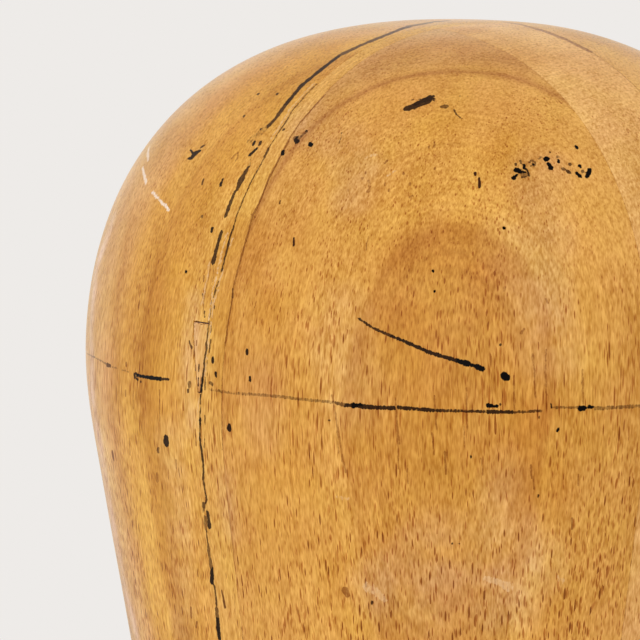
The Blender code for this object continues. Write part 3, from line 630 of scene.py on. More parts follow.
for level in range(math.floor(core_glue_end.z / MM), CORE_GLUE_STEP - 1, -CORE_GLUE_STEP):
    place, _, triangle, _ = form_tree.ray_cast(Vector((CORE_LEFT_JOINT, -1, level * MM)), -forward)
    core_glue.append((*on_ball(place, triangle), MM))
stroked(BRUISE, core_glue, FINE_JOINT_WIDTH, JOINT_RUNS, gaps=(0, 2), hidings=(0.3, 0.6))
for _ in range(UNSEEN_DOTS):
    bearing = math.radians(UNSEEN_MARKS.uniform(*DOT_BEARINGS))
    level = UNSEEN_MARKS.uniform(*DOT_LEVELS)
    width = UNSEEN_MARKS.uniform(*DOT_WIDTH)
    dot_samples = traced([(*nearest(skin_point(level, bearing)), MM)], width, width)
    marks.append((INK, UNSEEN_MARKS.uniform(*DOT_HIDINGS), dot_samples))

holes = [traced(followed([pixel]), width, width)[0] for pixel, width in pin_holes.values()]

# The skin is refined only round the marks and the holes, so that their edges are crisp: once for each
# reach, which is measured on the unit ball. The bolder marks of the seen sides get one round more.
MARK_REACH = (0.020, 0.0115)
CRISP_REACH = (0.007,)
LEAST_CRISP = 0.5
HOLE_REACH = (0.009, 0.007)
HOLE_DEPTH_BY_RADIUS = 2.2


def spot_tree(spots):
    """A tree that finds the spots near a place."""
    tree = KDTree(len(spots))
    for number, spot in enumerate(spots):
        tree.insert(spot, number)
    tree.balance()
    return tree


def refine(spots, reaches):
    """Splits the ball's edges near the spots, once for each reach."""
    tree = spot_tree(spots)
    for reach in reaches:
        near = [
            edge
            for edge in ball.edges
            if tree.find(((edge.verts[0].co + edge.verts[1].co) / 2).normalized())[2] < reach
        ]
        made = bmesh.ops.subdivide_edges(ball, edges=near, cuts=1, use_grid_fill=True)
        for item in made["geom_inner"]:
            if isinstance(item, bmesh.types.BMVert):
                item.co.normalize()


crisp_marks = [mark for mark in marks[:seen_marks] if mark[1] >= LEAST_CRISP]
refine([spot for _, _, samples in marks for _, spot, _ in samples], MARK_REACH)
refine([spot for _, _, samples in crisp_marks for _, spot, _ in samples], CRISP_REACH)
refine([spot for _, spot, _ in holes], HOLE_REACH)
bmesh.ops.triangulate(ball, faces=[face for face in ball.faces if len(face.verts) > 3])

RASP_WAVE = 26 * MM
RASP_HEIGHT = 0.16 * MM

skin = ball
for vert in skin.verts:
    vert.co = carved(vert.co)
skin.normal_update()
for vert in skin.verts:
    vert.co += vert.normal * RASP_HEIGHT * noise.noise(vert.co / RASP_WAVE)

skin.verts.ensure_lookup_table()
skin_tree = spot_tree([vert.co for vert in skin.verts])
for kind in (INK, BRUISE, CHALK_AND_HIGHLIGHT):
    edge_layer = skin.verts.layers.float.new(kind + "_edge")
    hiding_layer = skin.verts.layers.float.new(kind + "_hiding")
    for vert in skin.verts:
        vert[edge_layer] = -MARK_MARGIN / MM
    for mark_kind, hiding, samples in marks:
        if mark_kind != kind:
            continue
        for place, _, half_width in samples:
            for _, number, distance in skin_tree.find_range(place, half_width + MARK_MARGIN):
                vert = skin.verts[number]
                edge = (half_width - distance) / MM
                if edge > vert[edge_layer]:
                    vert[edge_layer] = edge
                    vert[hiding_layer] = hiding

for place, _, radius in holes:
    for _, number, distance in skin_tree.find_range(place, radius):
        vert = skin.verts[number]
        vert.co -= vert.normal * radius * HOLE_DEPTH_BY_RADIUS * (1 - (distance / radius) ** 2)

# Where the shellac is darkened, worn pale or pink, or still yellow, and where light is painted in: a pale
# and pink painted reflection along the outline, and painted light from the floor on the lower faces. Soft
# patches, each by its middle line in the photograph, its reach in mm to either side, and its strength.
DARK = "dark_tone"
PALE = "pale_tone"
PINK = "pink_tone"
YELLOW = "yellow_tone"

# Lines just inside the left outline, along which a pale painted reflection of the bright backdrop is laid.
rim_line = [(112, 222), (96, 270), (91, 330), (93, 400)]
rim_line_low = [(98, 430), (106, 480), (114, 525), (122, 570), (128, 600), (136, 634)]
tones = {
    "arch_cap": (DARK, [(394, 262), (424, 246), (460, 246), (486, 262)], 9, 1.0),
    "arch_left_pink": (PINK, [(338, 320), (342, 360), (350, 400)], 10, 0.4),
    "arch_left_pale": (PALE, [(332, 320), (334, 370), (340, 395)], 6, 0.5),
    "arch_right_pink": (PINK, [(512, 245), (535, 300), (552, 350)], 9, 0.5),
    "arch_right_pale": (PALE, [(515, 250), (540, 305), (548, 335)], 6, 0.5),
    "arch_heart": (DARK, [(410, 285), (480, 285)], 12, 0.4),
    "temple": (DARK, [(400, 100), (440, 105), (500, 120), (530, 160)], 12, 0.6),
    "under_line": (DARK, [(365, 440), (430, 450), (520, 462)], 11, 0.5),
    "at_line": (DARK, [(412, 320), (430, 370), (445, 425)], 10, 0.9),
    "brow_at_line": (DARK, [(490, 400), (575, 430)], 10, 0.6),
    "brow_under_line": (DARK, [(535, 420), (545, 490)], 9, 1.2),
    "brow_edge": (DARK, [(575, 235), (585, 300)], 7, 0.1),
    "cheek": (DARK, [(256, 240), (262, 300), (262, 380)], 10, 1.2),
    "cheek_low": (DARK, [(262, 430), (264, 560)], 9, 0.5),
    "cheek_top": (DARK, [(290, 240), (285, 330)], 9, 0.6),
    "joint_at_ear": (DARK, [(222, 240), (213, 300)], 2.5, 0.9),
    "strip_at_ear": (DARK, [(236, 235), (230, 280), (224, 315)], 6, 2.0),
    "crown_front": (DARK, [(405, 52), (440, 47), (490, 53), (515, 62)], 9, 0.6),
    "temple_ring": (DARK, [(166, 205), (158, 240), (154, 300), (152, 350)], 4.5, 0.7),
    "rear_crown": (DARK, [(160, 150), (196, 112), (240, 84)], 9, 0.9),
    "ear_rear": (DARK, [(150, 350), (150, 400)], 4, 0.5),
    # Paler on the lower rear: partly bleached shellac, partly painted light thrown up from the floor onto
    # faces that turn down.
    "rear_floor_lit_bleach": (PALE, [(103, 440), (116, 510), (128, 560), (138, 600), (146, 632)], 7, 1.1),
    "rear_floor_lit_pink": (PINK, [(168, 440), (176, 500), (180, 560), (184, 630)], 7, 0.6),
    "rear_by_joint_floor_lit_pale": (PALE, [(180, 445), (184, 520), (190, 600)], 8, 0.7),
    "crown_by_joint_pale": (PALE, [(222, 205), (216, 236)], 5, 0.6),
    "cheek_by_line_pink": (PINK, [(262, 370), (264, 430)], 8, 0.4),
    # Painted light from the floor on the lower rear, over bleached shellac.
    "rear_floor_lit_pale": (PALE, [(132, 430), (142, 490), (152, 545), (162, 610)], 10, 0.9),
    # Painted reflection: a pale and pink sheen along the left outline, standing for the backdrop seen at a
    # grazing angle.
    "rim_painted_reflection_pink": (PINK, rim_line, 4, 0.6),
    "rim_painted_reflection_pale": (PALE, rim_line, 3.5, 0.8),
    "rim_painted_reflection_pale_low": (PALE, rim_line_low, 4, 1.0),
    # Painted reflection along the crown's upper edge.
    "crown_edge_painted_reflection": (PALE, [(440, 26), (480, 25), (540, 36)], 5, 0.5),
    "rim_painted_reflection_pink_low": (PINK, rim_line_low, 4.5, 0.6),
    "rear_joint_bleach": (PALE, [(180, 430), (182, 500)], 5, 0.6),
    "strip_at_joint": (DARK, [(222, 245), (214, 290)], 6, 0.9),
    "strip_at_line": (DARK, [(226, 350), (224, 400)], 6, 0.8),
    # Paler low on the face: partly bleached shellac, partly painted light from the floor on faces that turn
    # down.
    "temple_floor_lit_pale": (PALE, [(360, 515), (362, 570)], 7, 0.5),
    "low_right_floor_lit_pale": (PALE, [(480, 500), (478, 540)], 6, 0.4),
    "foot_floor_lit_pale": (PALE, [(500, 600), (502, 632)], 7, 0.7),
    "foot_dark_right": (DARK, [(544, 600), (546, 632)], 7, 0.6),
    "temple_low_dark": (DARK, [(330, 530), (334, 590)], 6, 0.4),
    "foot_dark": (DARK, [(458, 602), (460, 632)], 7, 0.8),
    "ear_front_dark": (DARK, [(296, 395), (298, 540)], 8, 0.5),
    "rear_rim_band": (DARK, [(134, 210), (124, 250), (114, 300), (112, 340)], 4, 0.6),
    "cheek_bleach": (PALE, [(335, 430), (345, 470)], 7, 0.5),
    "brow_bleach": (PINK, [(350, 160), (366, 175), (352, 195)], 7, 0.5),
    # Paler towards the foot: partly bleached shellac, partly painted light from the floor on faces that turn
    # down.
    "floor_lit_bleach": (PINK, [(385, 590), (420, 575), (470, 578), (530, 568)], 10, 0.8),
    "floor_lit_bleach_upper": (PINK, [(425, 545), (470, 540), (510, 525)], 8, 0.6),
    "floor_lit_pale": (PALE, [(500, 525), (504, 585)], 8, 1.0),
    "crown_pink": (PINK, [(300, 120), (340, 140)], 7, 0.4),
    "brow_pink": (PINK, [(540, 170), (545, 230)], 8, 0.5),
    # More of the same painted floor light over bleached shellac, low on the face.
    "floor_lit_bleach_end": (PINK, [(430, 615), (480, 612), (510, 606)], 9, 0.7),
    "floor_lit_bleach_right": (PINK, [(505, 480), (500, 510)], 7, 0.5),
    "floor_lit_bleach_left": (PINK, [(372, 592), (384, 600)], 6, 0.7),
    "joint_bleach": (PINK, [(192, 300), (188, 360), (190, 420)], 4, 0.6),
    # Painted light from the floor on the strip's lower part, over bleached shellac.
    "strip_floor_lit_bleach": (PINK, [(226, 480), (230, 530)], 4, 0.4),
    "brow_edge_bleach": (PINK, [(545, 240), (545, 330)], 8, 0.6),
    "temple_yellow": (YELLOW, [(440, 130), (485, 150)], 9, 0.5),
    "cheek_yellow": (YELLOW, [(260, 440), (290, 500)], 12, 0.4),
    "low_yellow": (YELLOW, [(350, 560), (345, 620)], 8, 0.4),
    "brow_yellow": (YELLOW, [(410, 190), (450, 200)], 9, 0.4),
    "crown_yellow": (YELLOW, [(230, 150), (245, 190)], 6, 0.4),
    "rear_yellow": (YELLOW, [(180, 260), (186, 320)], 5, 0.5),
}
for kind in (DARK, PALE, PINK, YELLOW):
    tone_layer = skin.verts.layers.float.new(kind)
    for tone_kind, pixels, reach, strength in tones.values():
        if tone_kind != kind:
            continue
        for place, _, _ in followed(pixels):
            for _, number, distance in skin_tree.find_range(place, reach * MM):
                vert = skin.verts[number]
                vert[tone_layer] = max(vert[tone_layer], strength * (1 - (distance / (reach * MM)) ** 2))

# Sawn foot: the blank is cut off flat, and its edge is chamfered.
FOOT_CHAMFER = 3 * MM
SAME_POINT = 0.001 * MM


def saw(wood, point, normal, touching, off=True):
    """Cuts the wood along a plane, where points nearer than touching count as on it.

    What is past the plane falls off and the cut is closed, unless the wood is only scored.
    """
    cut = bmesh.ops.bisect_plane(
        wood,
        geom=[*wood.verts, *wood.edges, *wood.faces],
        dist=touching,
        plane_co=point,
        plane_no=normal,
        clear_outer=off,
    )
    if off:
        rim = [item for item in cut["geom_cut"] if isinstance(item, bmesh.types.BMEdge)]
        bmesh.ops.contextual_create(wood, geom=rim)


saw(skin, straight_up * FOOT_CHAMFER, -straight_up, SAME_POINT, off=False)
saw(skin, straight_up * 0, -straight_up, SAME_POINT)
for vert in skin.verts:
    if vert.co.z < FOOT_CHAMFER:
        out = Vector((vert.co.x, vert.co.y - FOOT_SHIFT, 0)).normalized()
        vert.co -= out * (FOOT_CHAMFER - vert.co.z)


# Rear billet: the thick beech plank behind the ear, which carries the back of the head and the crown's
# top. It is glued to the strip, keyed by four blind dowels, and the peg bore runs up from its foot.
GLUE_LINE = 0.3 * MM
SAW_TOUCH = 0.01 * MM
GROOVE_REACH = 0.8 * MM
GROOVE_WIDTH = 0.045 * MM
CREASE_ANGLE = math.radians(40)
BORE_SIDES = 24
SOCKET_RADIUS = 12.5 * MM
SOCKET_DEPTH = 60 * MM
SOCKET_CHAMFER = 1.5 * MM
SOCKET_SIDES = 48
CUTTER_OVERRUN = 2 * MM


def cutter(name, mesh_work):
    """A hidden solid that stands where wood is taken away."""
    bmesh.ops.recalc_face_normals(mesh_work, faces=mesh_work.faces)
    mesh = bpy.data.meshes.new(name)
    mesh_work.to_mesh(mesh)
    mesh_work.free()
    return bpy.data.objects.new(name, mesh)


def dowel_bores(dowels):
    """Bores for the CAD model's dowels, a glue line wider and longer than they are."""
    work = bmesh.new()
    for dowel in dowels:
        low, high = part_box(dowel)
        size = high - low
        lengthways = max(range(3), key=lambda number: size[number])
        radius = min(size) / 2 + GLUE_LINE
        axis = Vector([float(number == lengthways) for number in range(3)])
        turn = straight_up.rotation_difference(axis)
        bmesh.ops.create_cone(
            work,
            cap_ends=True,
            segments=BORE_SIDES,
            radius1=radius,
            radius2=radius,
            depth=size[lengthways] + 2 * GLUE_LINE,
            matrix=Matrix.Translation((low + high) / 2) @ turn.to_matrix().to_4x4(),
        )
    return cutter("dowel_bores", work)


def peg_bore():
    """The blind bore for a stand's peg, turned round the block's axis, with a chamfered mouth."""
    work = bmesh.new()
    mouth = SOCKET_RADIUS + SOCKET_CHAMFER
    outline = [
        work.verts.new((across, FOOT_SHIFT, level))
        for across, level in (
            (0, SOCKET_DEPTH),
            (SOCKET_RADIUS, SOCKET_DEPTH),
            (SOCKET_RADIUS, SOCKET_CHAMFER),
            (mouth, 0),
            (mouth, -CUTTER_OVERRUN),
            (0, -CUTTER_OVERRUN),
        )
    ]
    edges = [work.edges.new(pair) for pair in zip(outline, outline[1:])]
    bmesh.ops.spin(
        work,
        geom=[*outline, *edges],
        cent=(0, FOOT_SHIFT, 0),
        axis=(0, 0, 1),
        angle=2 * math.pi,
        steps=SOCKET_SIDES,
        use_merge=True,
    )
    bmesh.ops.remove_doubles(work, verts=work.verts, dist=SAME_POINT)
    return cutter("peg_bore", work)


def board(name, cuts, bores):
    """One board sawn out of the carved blank, its glued edges a hair drawn back, with its bores drilled."""
    wood = skin.copy()
    for point, normal in cuts:
        saw(wood, point, normal, SAW_TOUCH)
        for vert in wood.verts:
            depth = (point - vert.co).dot(normal)
            if depth < GROOVE_REACH:
                vert.co -= normal * GROOVE_WIDTH * (1 - max(0.0, depth) / GROOVE_REACH) ** 2
    bmesh.ops.triangulate(wood, faces=[face for face in wood.faces if len(face.verts) > 3])
    bmesh.ops.recalc_face_normals(wood, faces=wood.faces)
    mesh = bpy.data.meshes.new(name)
    wood.to_mesh(mesh)
    wood.free()
    piece = bpy.data.objects.new(name, mesh)
    bpy.context.scene.collection.objects.link(piece)
    if bores:
        for bore in bores:
            bpy.context.scene.collection.objects.link(bore)
            drill = piece.modifiers.new(bore.name, "BOOLEAN")
            drill.operation = "DIFFERENCE"
            drill.solver = "MANIFOLD"
            drill.object = bore
        drilled_piece = piece.evaluated_get(bpy.context.evaluated_depsgraph_get())
        drilled = bpy.data.meshes.new_from_object(drilled_piece)
        piece.modifiers.clear()
        piece.data = drilled
        bpy.data.meshes.remove(mesh)
        drilled.name = name
        drilled.materials.clear()
    for bore in bores:
        bpy.data.meshes.remove(bore.data)
    piece.data.shade_smooth()
    piece.data.set_sharp_from_angle(angle=CREASE_ANGLE)
    return piece


def linear(hex_colour):
    """A colour written as sRGB hex, as the linear colour that a shader takes."""
    channels = [int(hex_colour[start : start + 2], 16) / 255 for start in (0, 2, 4)]
    straight = [c / 12.92 if c <= 0.04045 else ((c + 0.055) / 1.055) ** 2.4 for c in channels]
    return (*straight, 1.0)


def add_node(tree, kind, inputs=(), **settings):
    """A shader node with its settings, each of its inputs given a value or linked."""
    node = tree.nodes.new("ShaderNode" + kind)
    for name, value in settings.items():
        setattr(node, name, value)
    for socket, value in dict(inputs).items():
        if isinstance(value, bpy.types.NodeSocket):
            tree.links.new(value, node.inputs[socket])
        else:
            node.inputs[socket].default_value = value
    return node


# How fine each pattern of the wood is, in waves or cells a millimetre, and how it is drawn out or moved.
RING_STRAY_PER_MM = 0.02
RING_STRAY = (6, 6, 0)
YEARS_PER_MM = 1.3
TONE_BREAKS_PER_MM = 0.12
FIBRES_PER_MM = 1.5
FIBRE_STRETCH = (1, 1, 0.2)
MOTTLES_PER_MM = 0.06
HUES_PER_MM = 0.09
HUE_SHIFT = (70, 30, 50)
CROWDS_PER_MM = 0.09
SHORT_FLECKS_PER_MM = (2.3, 2.3, 0.3)
LONG_FLECKS_PER_MM = (1.9, 1.9, 0.17)
FRAYS_PER_MM = 2.2
FRAY_STRETCH = (1, 1, 0.5)

# Factors on the wood's colour, in linear red, green and blue.
DARK_YEAR = (0.88, 0.84, 0.79, 1)
PALE_YEAR = (1.12, 1.16, 1.21, 1)
DARK_FIBRE = (0.78, 0.68, 0.52, 1)
PALE_FIBRE = (1.22, 1.32, 1.5, 1)
YELLOW_PATCH = (0.99, 1.01, 0.92, 1)
PINK_PATCH = (1.01, 0.99, 1.08, 1)
FAINT_FLECK = (0.64, 0.44, 0.32, 1)
DARK_FLECK = (0.22, 0.11, 0.08, 1)
# The pale and pink tints also paint the reflection along the outline and the light from the floor on the
# lower faces.
tone_tints = {
    DARK: (0.86, 0.76, 0.6),
    PALE: (1.2, 1.32, 1.5),
    PINK: (1.0, 1.12, 2.1),
    YELLOW: (1.05, 1.06, 0.86),
}

# How strongly the fibres, the mottling, the flecks and the worn marks show, and how rough the shellac is.
FIBRE_CONTRAST = 2.2
MOTTLE_CONTRAST = 1.5
MOTTLE_DARKENING = 0.25
FEW_FLECKS_LEVEL = 265.0
MANY_FLECKS_LEVEL = 165.0
CROWDED_LOWER_DOWN = 0.12
BARE_BELOW = 0.56
MOST_CROWDED = 0.62
FLECK_STRENGTH = 0.65
STRONGER_LOWER_DOWN = 0.4
FLECK_EDGE = (-0.06, 0.12)
MARK_BLUR = 0.07
MARK_WEAR = 2.4
LEAST_ROUGH = 0.12
ROUGHER_BY_GRAIN = 0.4
GRAIN_RELIEF = 0.05 * MM


def shellacked_beech(name, ring_centre, ring_lean, figure, flecked):
    """Old beech under worn amber shellac: ring figure, grain, ray flecks, tones, and the marks on it.

    The rings' centre and the radii of the figure are in mm, and the lean is an angle in radians.
    """
    material = bpy.data.materials.new(name)
    material.use_nodes = True
    tree = material.node_tree
    shader = tree.nodes["Principled BSDF"]
    spot = add_node(tree, "TexCoord").outputs["Object"]
    mm = add_node(tree, "VectorMath", {0: spot, "Scale": 1 / MM}, operation="SCALE").outputs[0]

    # Growth rings: upright cylinders round a leaning pith, drawn out of true over some 50 mm.
    stray = add_node(
        tree, "TexNoise", {"Vector": mm, "Scale": RING_STRAY_PER_MM, "Detail": 2.0}
    ).outputs["Color"]
    stray = add_node(tree, "VectorMath", {0: stray, 1: (0.5, 0.5, 0.5)}, operation="SUBTRACT").outputs[0]
    strayed = add_node(
        tree, "VectorMath", {0: stray, 1: RING_STRAY, 2: mm}, operation="MULTIPLY_ADD"
    ).outputs[0]
    turned = add_node(
        tree,
        "Mapping",
        {"Vector": strayed, "Location": (-ring_centre[0], -ring_centre[1], 0), "Rotation": (0, ring_lean, 0)},
    ).outputs[0]
    flat = add_node(tree, "VectorMath", {0: turned, 1: (1, 1, 0)}, operation="MULTIPLY").outputs[0]
    radius = add_node(tree, "VectorMath", {0: flat}, operation="LENGTH").outputs["Value"]
    inner, outer = figure[0][0], figure[-1][0]
    share = add_node(tree, "MapRange", {"Value": radius, "From Min": inner, "From Max": outer}).outputs[0]
    ramp = add_node(tree, "ValToRGB", {"Fac": share})
    stops = ramp.color_ramp.elements
    stops[0].color = linear(figure[0][1])
    stops[1].color = linear(figure[-1][1])
    for ring_radius, colour in figure[1:-1]:
        stops.new((ring_radius - inner) / (outer - inner)).color = linear(colour)
    colour = ramp.outputs["Color"]
    years = add_node(
        tree,
        "TexNoise",
        {"W": radius, "Scale": YEARS_PER_MM, "Detail": 1.0, "Roughness": 0.8},
        noise_dimensions="1D",
    ).outputs[0]
    year_tint = add_node(
        tree, "Mix", {"Factor": years, "A": DARK_YEAR, "B": PALE_YEAR}, data_type="RGBA"
    ).outputs["Result"]
    colour = add_node(tree, "VectorMath", {0: colour, 1: year_tint}, operation="MULTIPLY").outputs[0]

    # Soft tones, broken up unevenly over some 8 mm.
    broken = add_node(
        tree, "TexNoise", {"Vector": mm, "Scale": TONE_BREAKS_PER_MM, "Detail": 4.0}
    ).outputs[0]
    broken = add_node(
        tree, "MapRange", {"Value": broken, "From Min": 0.3, "From Max": 0.6, "To Min": 0.3}
    ).outputs[0]
    for kind, tint in tone_tints.items():
        tone = add_node(tree, "Attribute", attribute_name=kind).outputs["Fac"]
        tone = add_node(tree, "Math", {0: tone, 1: broken}, operation="MULTIPLY", use_clamp=True).outputs[0]
        tinted = add_node(tree, "VectorMath", {0: colour, 1: tint}, operation="MULTIPLY").outputs[0]
        colour = add_node(
            tree, "Mix", {"Factor": tone, "A": colour, "B": tinted}, data_type="RGBA"
        ).outputs["Result"]

    # Grain: fibres some half a millimetre across along the tree, over a faint broad mottling. The darker
    # ones are browner and the paler ones pinker. Broad patches lean a little to yellow or to pink.
    grain_spot = add_node(tree, "VectorMath", {0: mm, 1: FIBRE_STRETCH}, operation="MULTIPLY").outputs[0]
    grain = add_node(
        tree, "TexNoise", {"Vector": grain_spot, "Scale": FIBRES_PER_MM, "Detail": 1.0, "Roughness": 1.0}
    ).outputs[0]
    mottle = add_node(
        tree, "TexNoise", {"Vector": grain_spot, "Scale": MOTTLES_PER_MM, "Detail": 3.0, "Roughness": 0.7}
    ).outputs[0]
    depth = add_node(
        tree, "Math", {0: grain, 1: FIBRE_CONTRAST, 2: -FIBRE_CONTRAST / 2}, operation="MULTIPLY_ADD"
    ).outputs[0]
    depth = add_node(
        tree, "Math", {0: mottle, 1: MOTTLE_CONTRAST, 2: depth}, operation="MULTIPLY_ADD"
    ).outputs[0]
    depth = add_node(tree, "Math", {0: depth, 1: MOTTLE_DARKENING}, operation="SUBTRACT").outputs[0]
    grain_tint = add_node(
        tree, "Mix", {"Factor": depth, "A": DARK_FIBRE, "B": PALE_FIBRE}, data_type="RGBA"
    ).outputs["Result"]
    colour = add_node(tree, "VectorMath", {0: colour, 1: grain_tint}, operation="MULTIPLY").outputs[0]
    hue_spot = add_node(tree, "VectorMath", {0: mm, 1: HUE_SHIFT}, operation="ADD").outputs[0]
    hue = add_node(tree, "TexNoise", {"Vector": hue_spot, "Scale": HUES_PER_MM, "Detail": 3.0}).outputs[0]
    hue = add_node(tree, "MapRange", {"Value": hue, "From Min": 0.3, "From Max": 0.7}).outputs[0]
    hue_tint = add_node(
        tree, "Mix", {"Factor": hue, "A": YELLOW_PATCH, "B": PINK_PATCH}, data_type="RGBA"
    ).outputs["Result"]
    colour = add_node(tree, "VectorMath", {0: colour, 1: hue_tint}, operation="MULTIPLY").outputs[0]

    # Flecks: brown spindles along the grain, up to half a millimetre wide and a few long, which show as
    # dots on the crown. Most are faint and some are dark. They crowd in places, and more so lower down.
    crowd = add_node(
        tree, "TexNoise", {"Vector": grain_spot, "Scale": CROWDS_PER_MM, "Detail": 3.0}
    ).outputs[0]
    height = add_node(tree, "SeparateXYZ", {0: mm}).outputs["Z"]
    low = add_node(
        tree, "MapRange", {"Value": height, "From Min": FEW_FLECKS_LEVEL, "From Max": MANY_FLECKS_LEVEL}
    ).outputs[0]
    crowd = add_node(
        tree, "Math", {0: low, 1: CROWDED_LOWER_DOWN, 2: crowd}, operation="MULTIPLY_ADD"
    ).outputs[0]
    crowd = add_node(tree, "Math", {0: crowd, 1: BARE_BELOW - flecked}, operation="SUBTRACT").outputs[0]
    crowd = add_node(tree, "Math", {0: crowd, 1: MOST_CROWDED}, operation="MINIMUM").outputs[0]
    vigour = add_node(
        tree, "Math", {0: low, 1: STRONGER_LOWER_DOWN, 2: FLECK_STRENGTH}, operation="MULTIPLY_ADD"
    ).outputs[0]
    for cells, least_dark, most_dark in ((SHORT_FLECKS_PER_MM, 0.05, 0.5), (LONG_FLECKS_PER_MM, 0.15, 0.85)):
        fleck_spot = add_node(tree, "VectorMath", {0: mm, 1: cells}, operation="MULTIPLY").outputs[0]
        flecks = add_node(tree, "TexVoronoi", {"Vector": fleck_spot, "Scale": 1.0})
        chance = add_node(tree, "SeparateColor", {0: flecks.outputs["Color"]})
        size = add_node(tree, "Math", {0: chance.outputs[0], 1: crowd}, operation="MULTIPLY").outputs[0]
        lead = add_node(
            tree, "Math", {0: size, 1: flecks.outputs["Distance"]}, operation="SUBTRACT"
        ).outputs[0]
        fleck = add_node(
            tree, "MapRange", {"Value": lead, "From Min": FLECK_EDGE[0], "From Max": FLECK_EDGE[1]}
        ).outputs[0]
        strength = add_node(
            tree, "MapRange", {"Value": chance.outputs[1], "To Min": least_dark, "To Max": most_dark}
        ).outputs[0]
        fleck = add_node(tree, "Math", {0: fleck, 1: strength}, operation="MULTIPLY").outputs[0]
        fleck = add_node(tree, "Math", {0: fleck, 1: vigour}, operation="MULTIPLY").outputs[0]
        browning = add_node(tree, "ValToRGB", {"Fac": fleck})
        stops = browning.color_ramp.elements
        stops[0].color = (1, 1, 1, 1)
        stops[1].color = DARK_FLECK
        stops.new(0.5).color = FAINT_FLECK
        colour = add_node(
            tree, "VectorMath", {0: colour, 1: browning.outputs["Color"]}, operation="MULTIPLY"
        ).outputs[0]

    # The marks: each edge is frayed by the grain, and thin ink is broken where the grain stands up.
    fray_spot = add_node(tree, "VectorMath", {0: mm, 1: FRAY_STRETCH}, operation="MULTIPLY").outputs[0]
    fray = add_node(tree, "TexNoise", {"Vector": fray_spot, "Scale": FRAYS_PER_MM, "Detail": 2.0}).outputs[0]
    for kind, thin_colour, thick_colour, least_thick, fray_width in (
        (BRUISE, "7C3C0C", "3C1A08", 0.8, 0.15),
        # The chalk colours also paint the highlight along the rear joint's crack.
        (CHALK_AND_HIGHLIGHT, "E9BF8B", "FAE8D8", 0.5, 0.7),
        (INK, "3E1A04", "040100", 0.82, 0.3),
    ):
        edge = add_node(tree, "Attribute", attribute_name=kind + "_edge").outputs["Fac"]
        hiding = add_node(tree, "Attribute", attribute_name=kind + "_hiding").outputs["Fac"]
        frayed = add_node(
            tree, "Math", {0: fray, 1: fray_width * 2, 2: edge}, operation="MULTIPLY_ADD"
        ).outputs[0]
        cover = add_node(
            tree,
            "MapRange",
            {"Value": frayed, "From Min": fray_width - MARK_BLUR, "From Max": fray_width + MARK_BLUR},
        ).outputs[0]
        thinned = add_node(
            tree, "Math", {0: fray, 1: MARK_WEAR, 2: -MARK_WEAR / 2}, operation="MULTIPLY_ADD"
        ).outputs[0]
        spared = add_node(tree, "Math", {0: 1.0, 1: hiding}, operation="SUBTRACT").outputs[0]
        thinned = add_node(
            tree, "Math", {0: thinned, 1: spared, 2: hiding}, operation="MULTIPLY_ADD"
        ).outputs[0]
        cover = add_node(
            tree, "Math", {0: cover, 1: thinned}, operation="MULTIPLY", use_clamp=True
        ).outputs[0]
        thick = add_node(tree, "MapRange", {"Value": hiding, "From Min": least_thick}).outputs[0]
        mark_colour = add_node(
            tree,
            "Mix",
            {"Factor": thick, "A": linear(thin_colour), "B": linear(thick_colour)},
            data_type="RGBA",
        ).outputs["Result"]
        colour = add_node(
            tree, "Mix", {"Factor": cover, "A": colour, "B": mark_colour}, data_type="RGBA"
        ).outputs["Result"]

    tree.links.new(colour, shader.inputs["Base Color"])
    shader.inputs["Specular IOR Level"].default_value = 0.06
    shader.inputs["Sheen Weight"].default_value = 0.2
    shader.inputs["Sheen Roughness"].default_value = 0.22
    roughness = add_node(
        tree, "Math", {0: grain, 1: ROUGHER_BY_GRAIN, 2: LEAST_ROUGH}, operation="MULTIPLY_ADD"
    ).outputs[0]
    tree.links.new(roughness, shader.inputs["Roughness"])
    relief = add_node(tree, "Math", {0: grain, 1: fleck}, operation="SUBTRACT").outputs[0]
    bump = add_node(tree, "Bump", {"Strength": 0.2, "Distance": GRAIN_RELIEF, "Height": relief})
    tree.links.new(bump.outputs[0], shader.inputs["Normal"])
    return material


OUTER_DOWELS = ("dowel_upper_left", "dowel_upper_right", "dowel_lower_left", "dowel_lower_right")
CORE_DOWELS = ("dowel_upper_core", "dowel_lower_core")
rear_figure = [
    (40, "DAA153"), (66, "E0A853"), (72, "DCA14B"), (78, "D49740"), (85, "C88A3B"), (86.5, "D79C47"),
    (93, "DBA04B"), (100, "DAA25E"), (110, "DDAA69"), (124, "E0AF70"), (140, "D9A354"), (165, "D49A48"),
    (195, "DAA352"), (240, "D49A4A"),
]
SLIP_RISE = 14.2 * MM
SLIP_LENGTH = 15.4 * MM
SLIP_TOP_WIDTH = 5.6 * MM
SLIP_TIP_WIDTH = 1.3 * MM
SLIP_DEPTH = 8 * MM


def slip_cuts(clearance):
    """The slip's top, tip, inner and rear faces, each moved out by the clearance."""
    top = LINE_LEVEL + SLIP_RISE
    tip = top - SLIP_LENGTH
    top_edge = Vector((0, rear_point.y + STRIP_FLARE * (LINE_LEVEL - top) + SLIP_TOP_WIDTH, top))
    tip_edge = Vector((0, rear_point.y + STRIP_FLARE * (LINE_LEVEL - tip) + SLIP_TIP_WIDTH, tip))
    slope = top_edge - tip_edge
    away = Vector((0, slope.z, -slope.y)).normalized()
    return [
        (straight_up * (top + clearance), straight_up),
        (straight_up * (tip - clearance), -straight_up),
        (leftward * (SLIP_DEPTH - HALF_WIDTH + clearance), leftward),
        (top_edge + away * clearance, away),
    ]


def slip_pocket():
    """The pocket that was cut for the slip: a block sawn to the slip's faces, a glue line larger."""
    work = bmesh.new()
    size = Matrix.Diagonal((2 * HALF_WIDTH + 2 * CUTTER_OVERRUN, REAR_DEPTH, 2 * CROWN_LEVEL, 1))
    bmesh.ops.create_cube(work, size=1.0, matrix=size)
    for point, normal in slip_cuts(GLUE_LINE):
        saw(work, point, normal, touching=0)
    return cutter("slip_pocket", work)


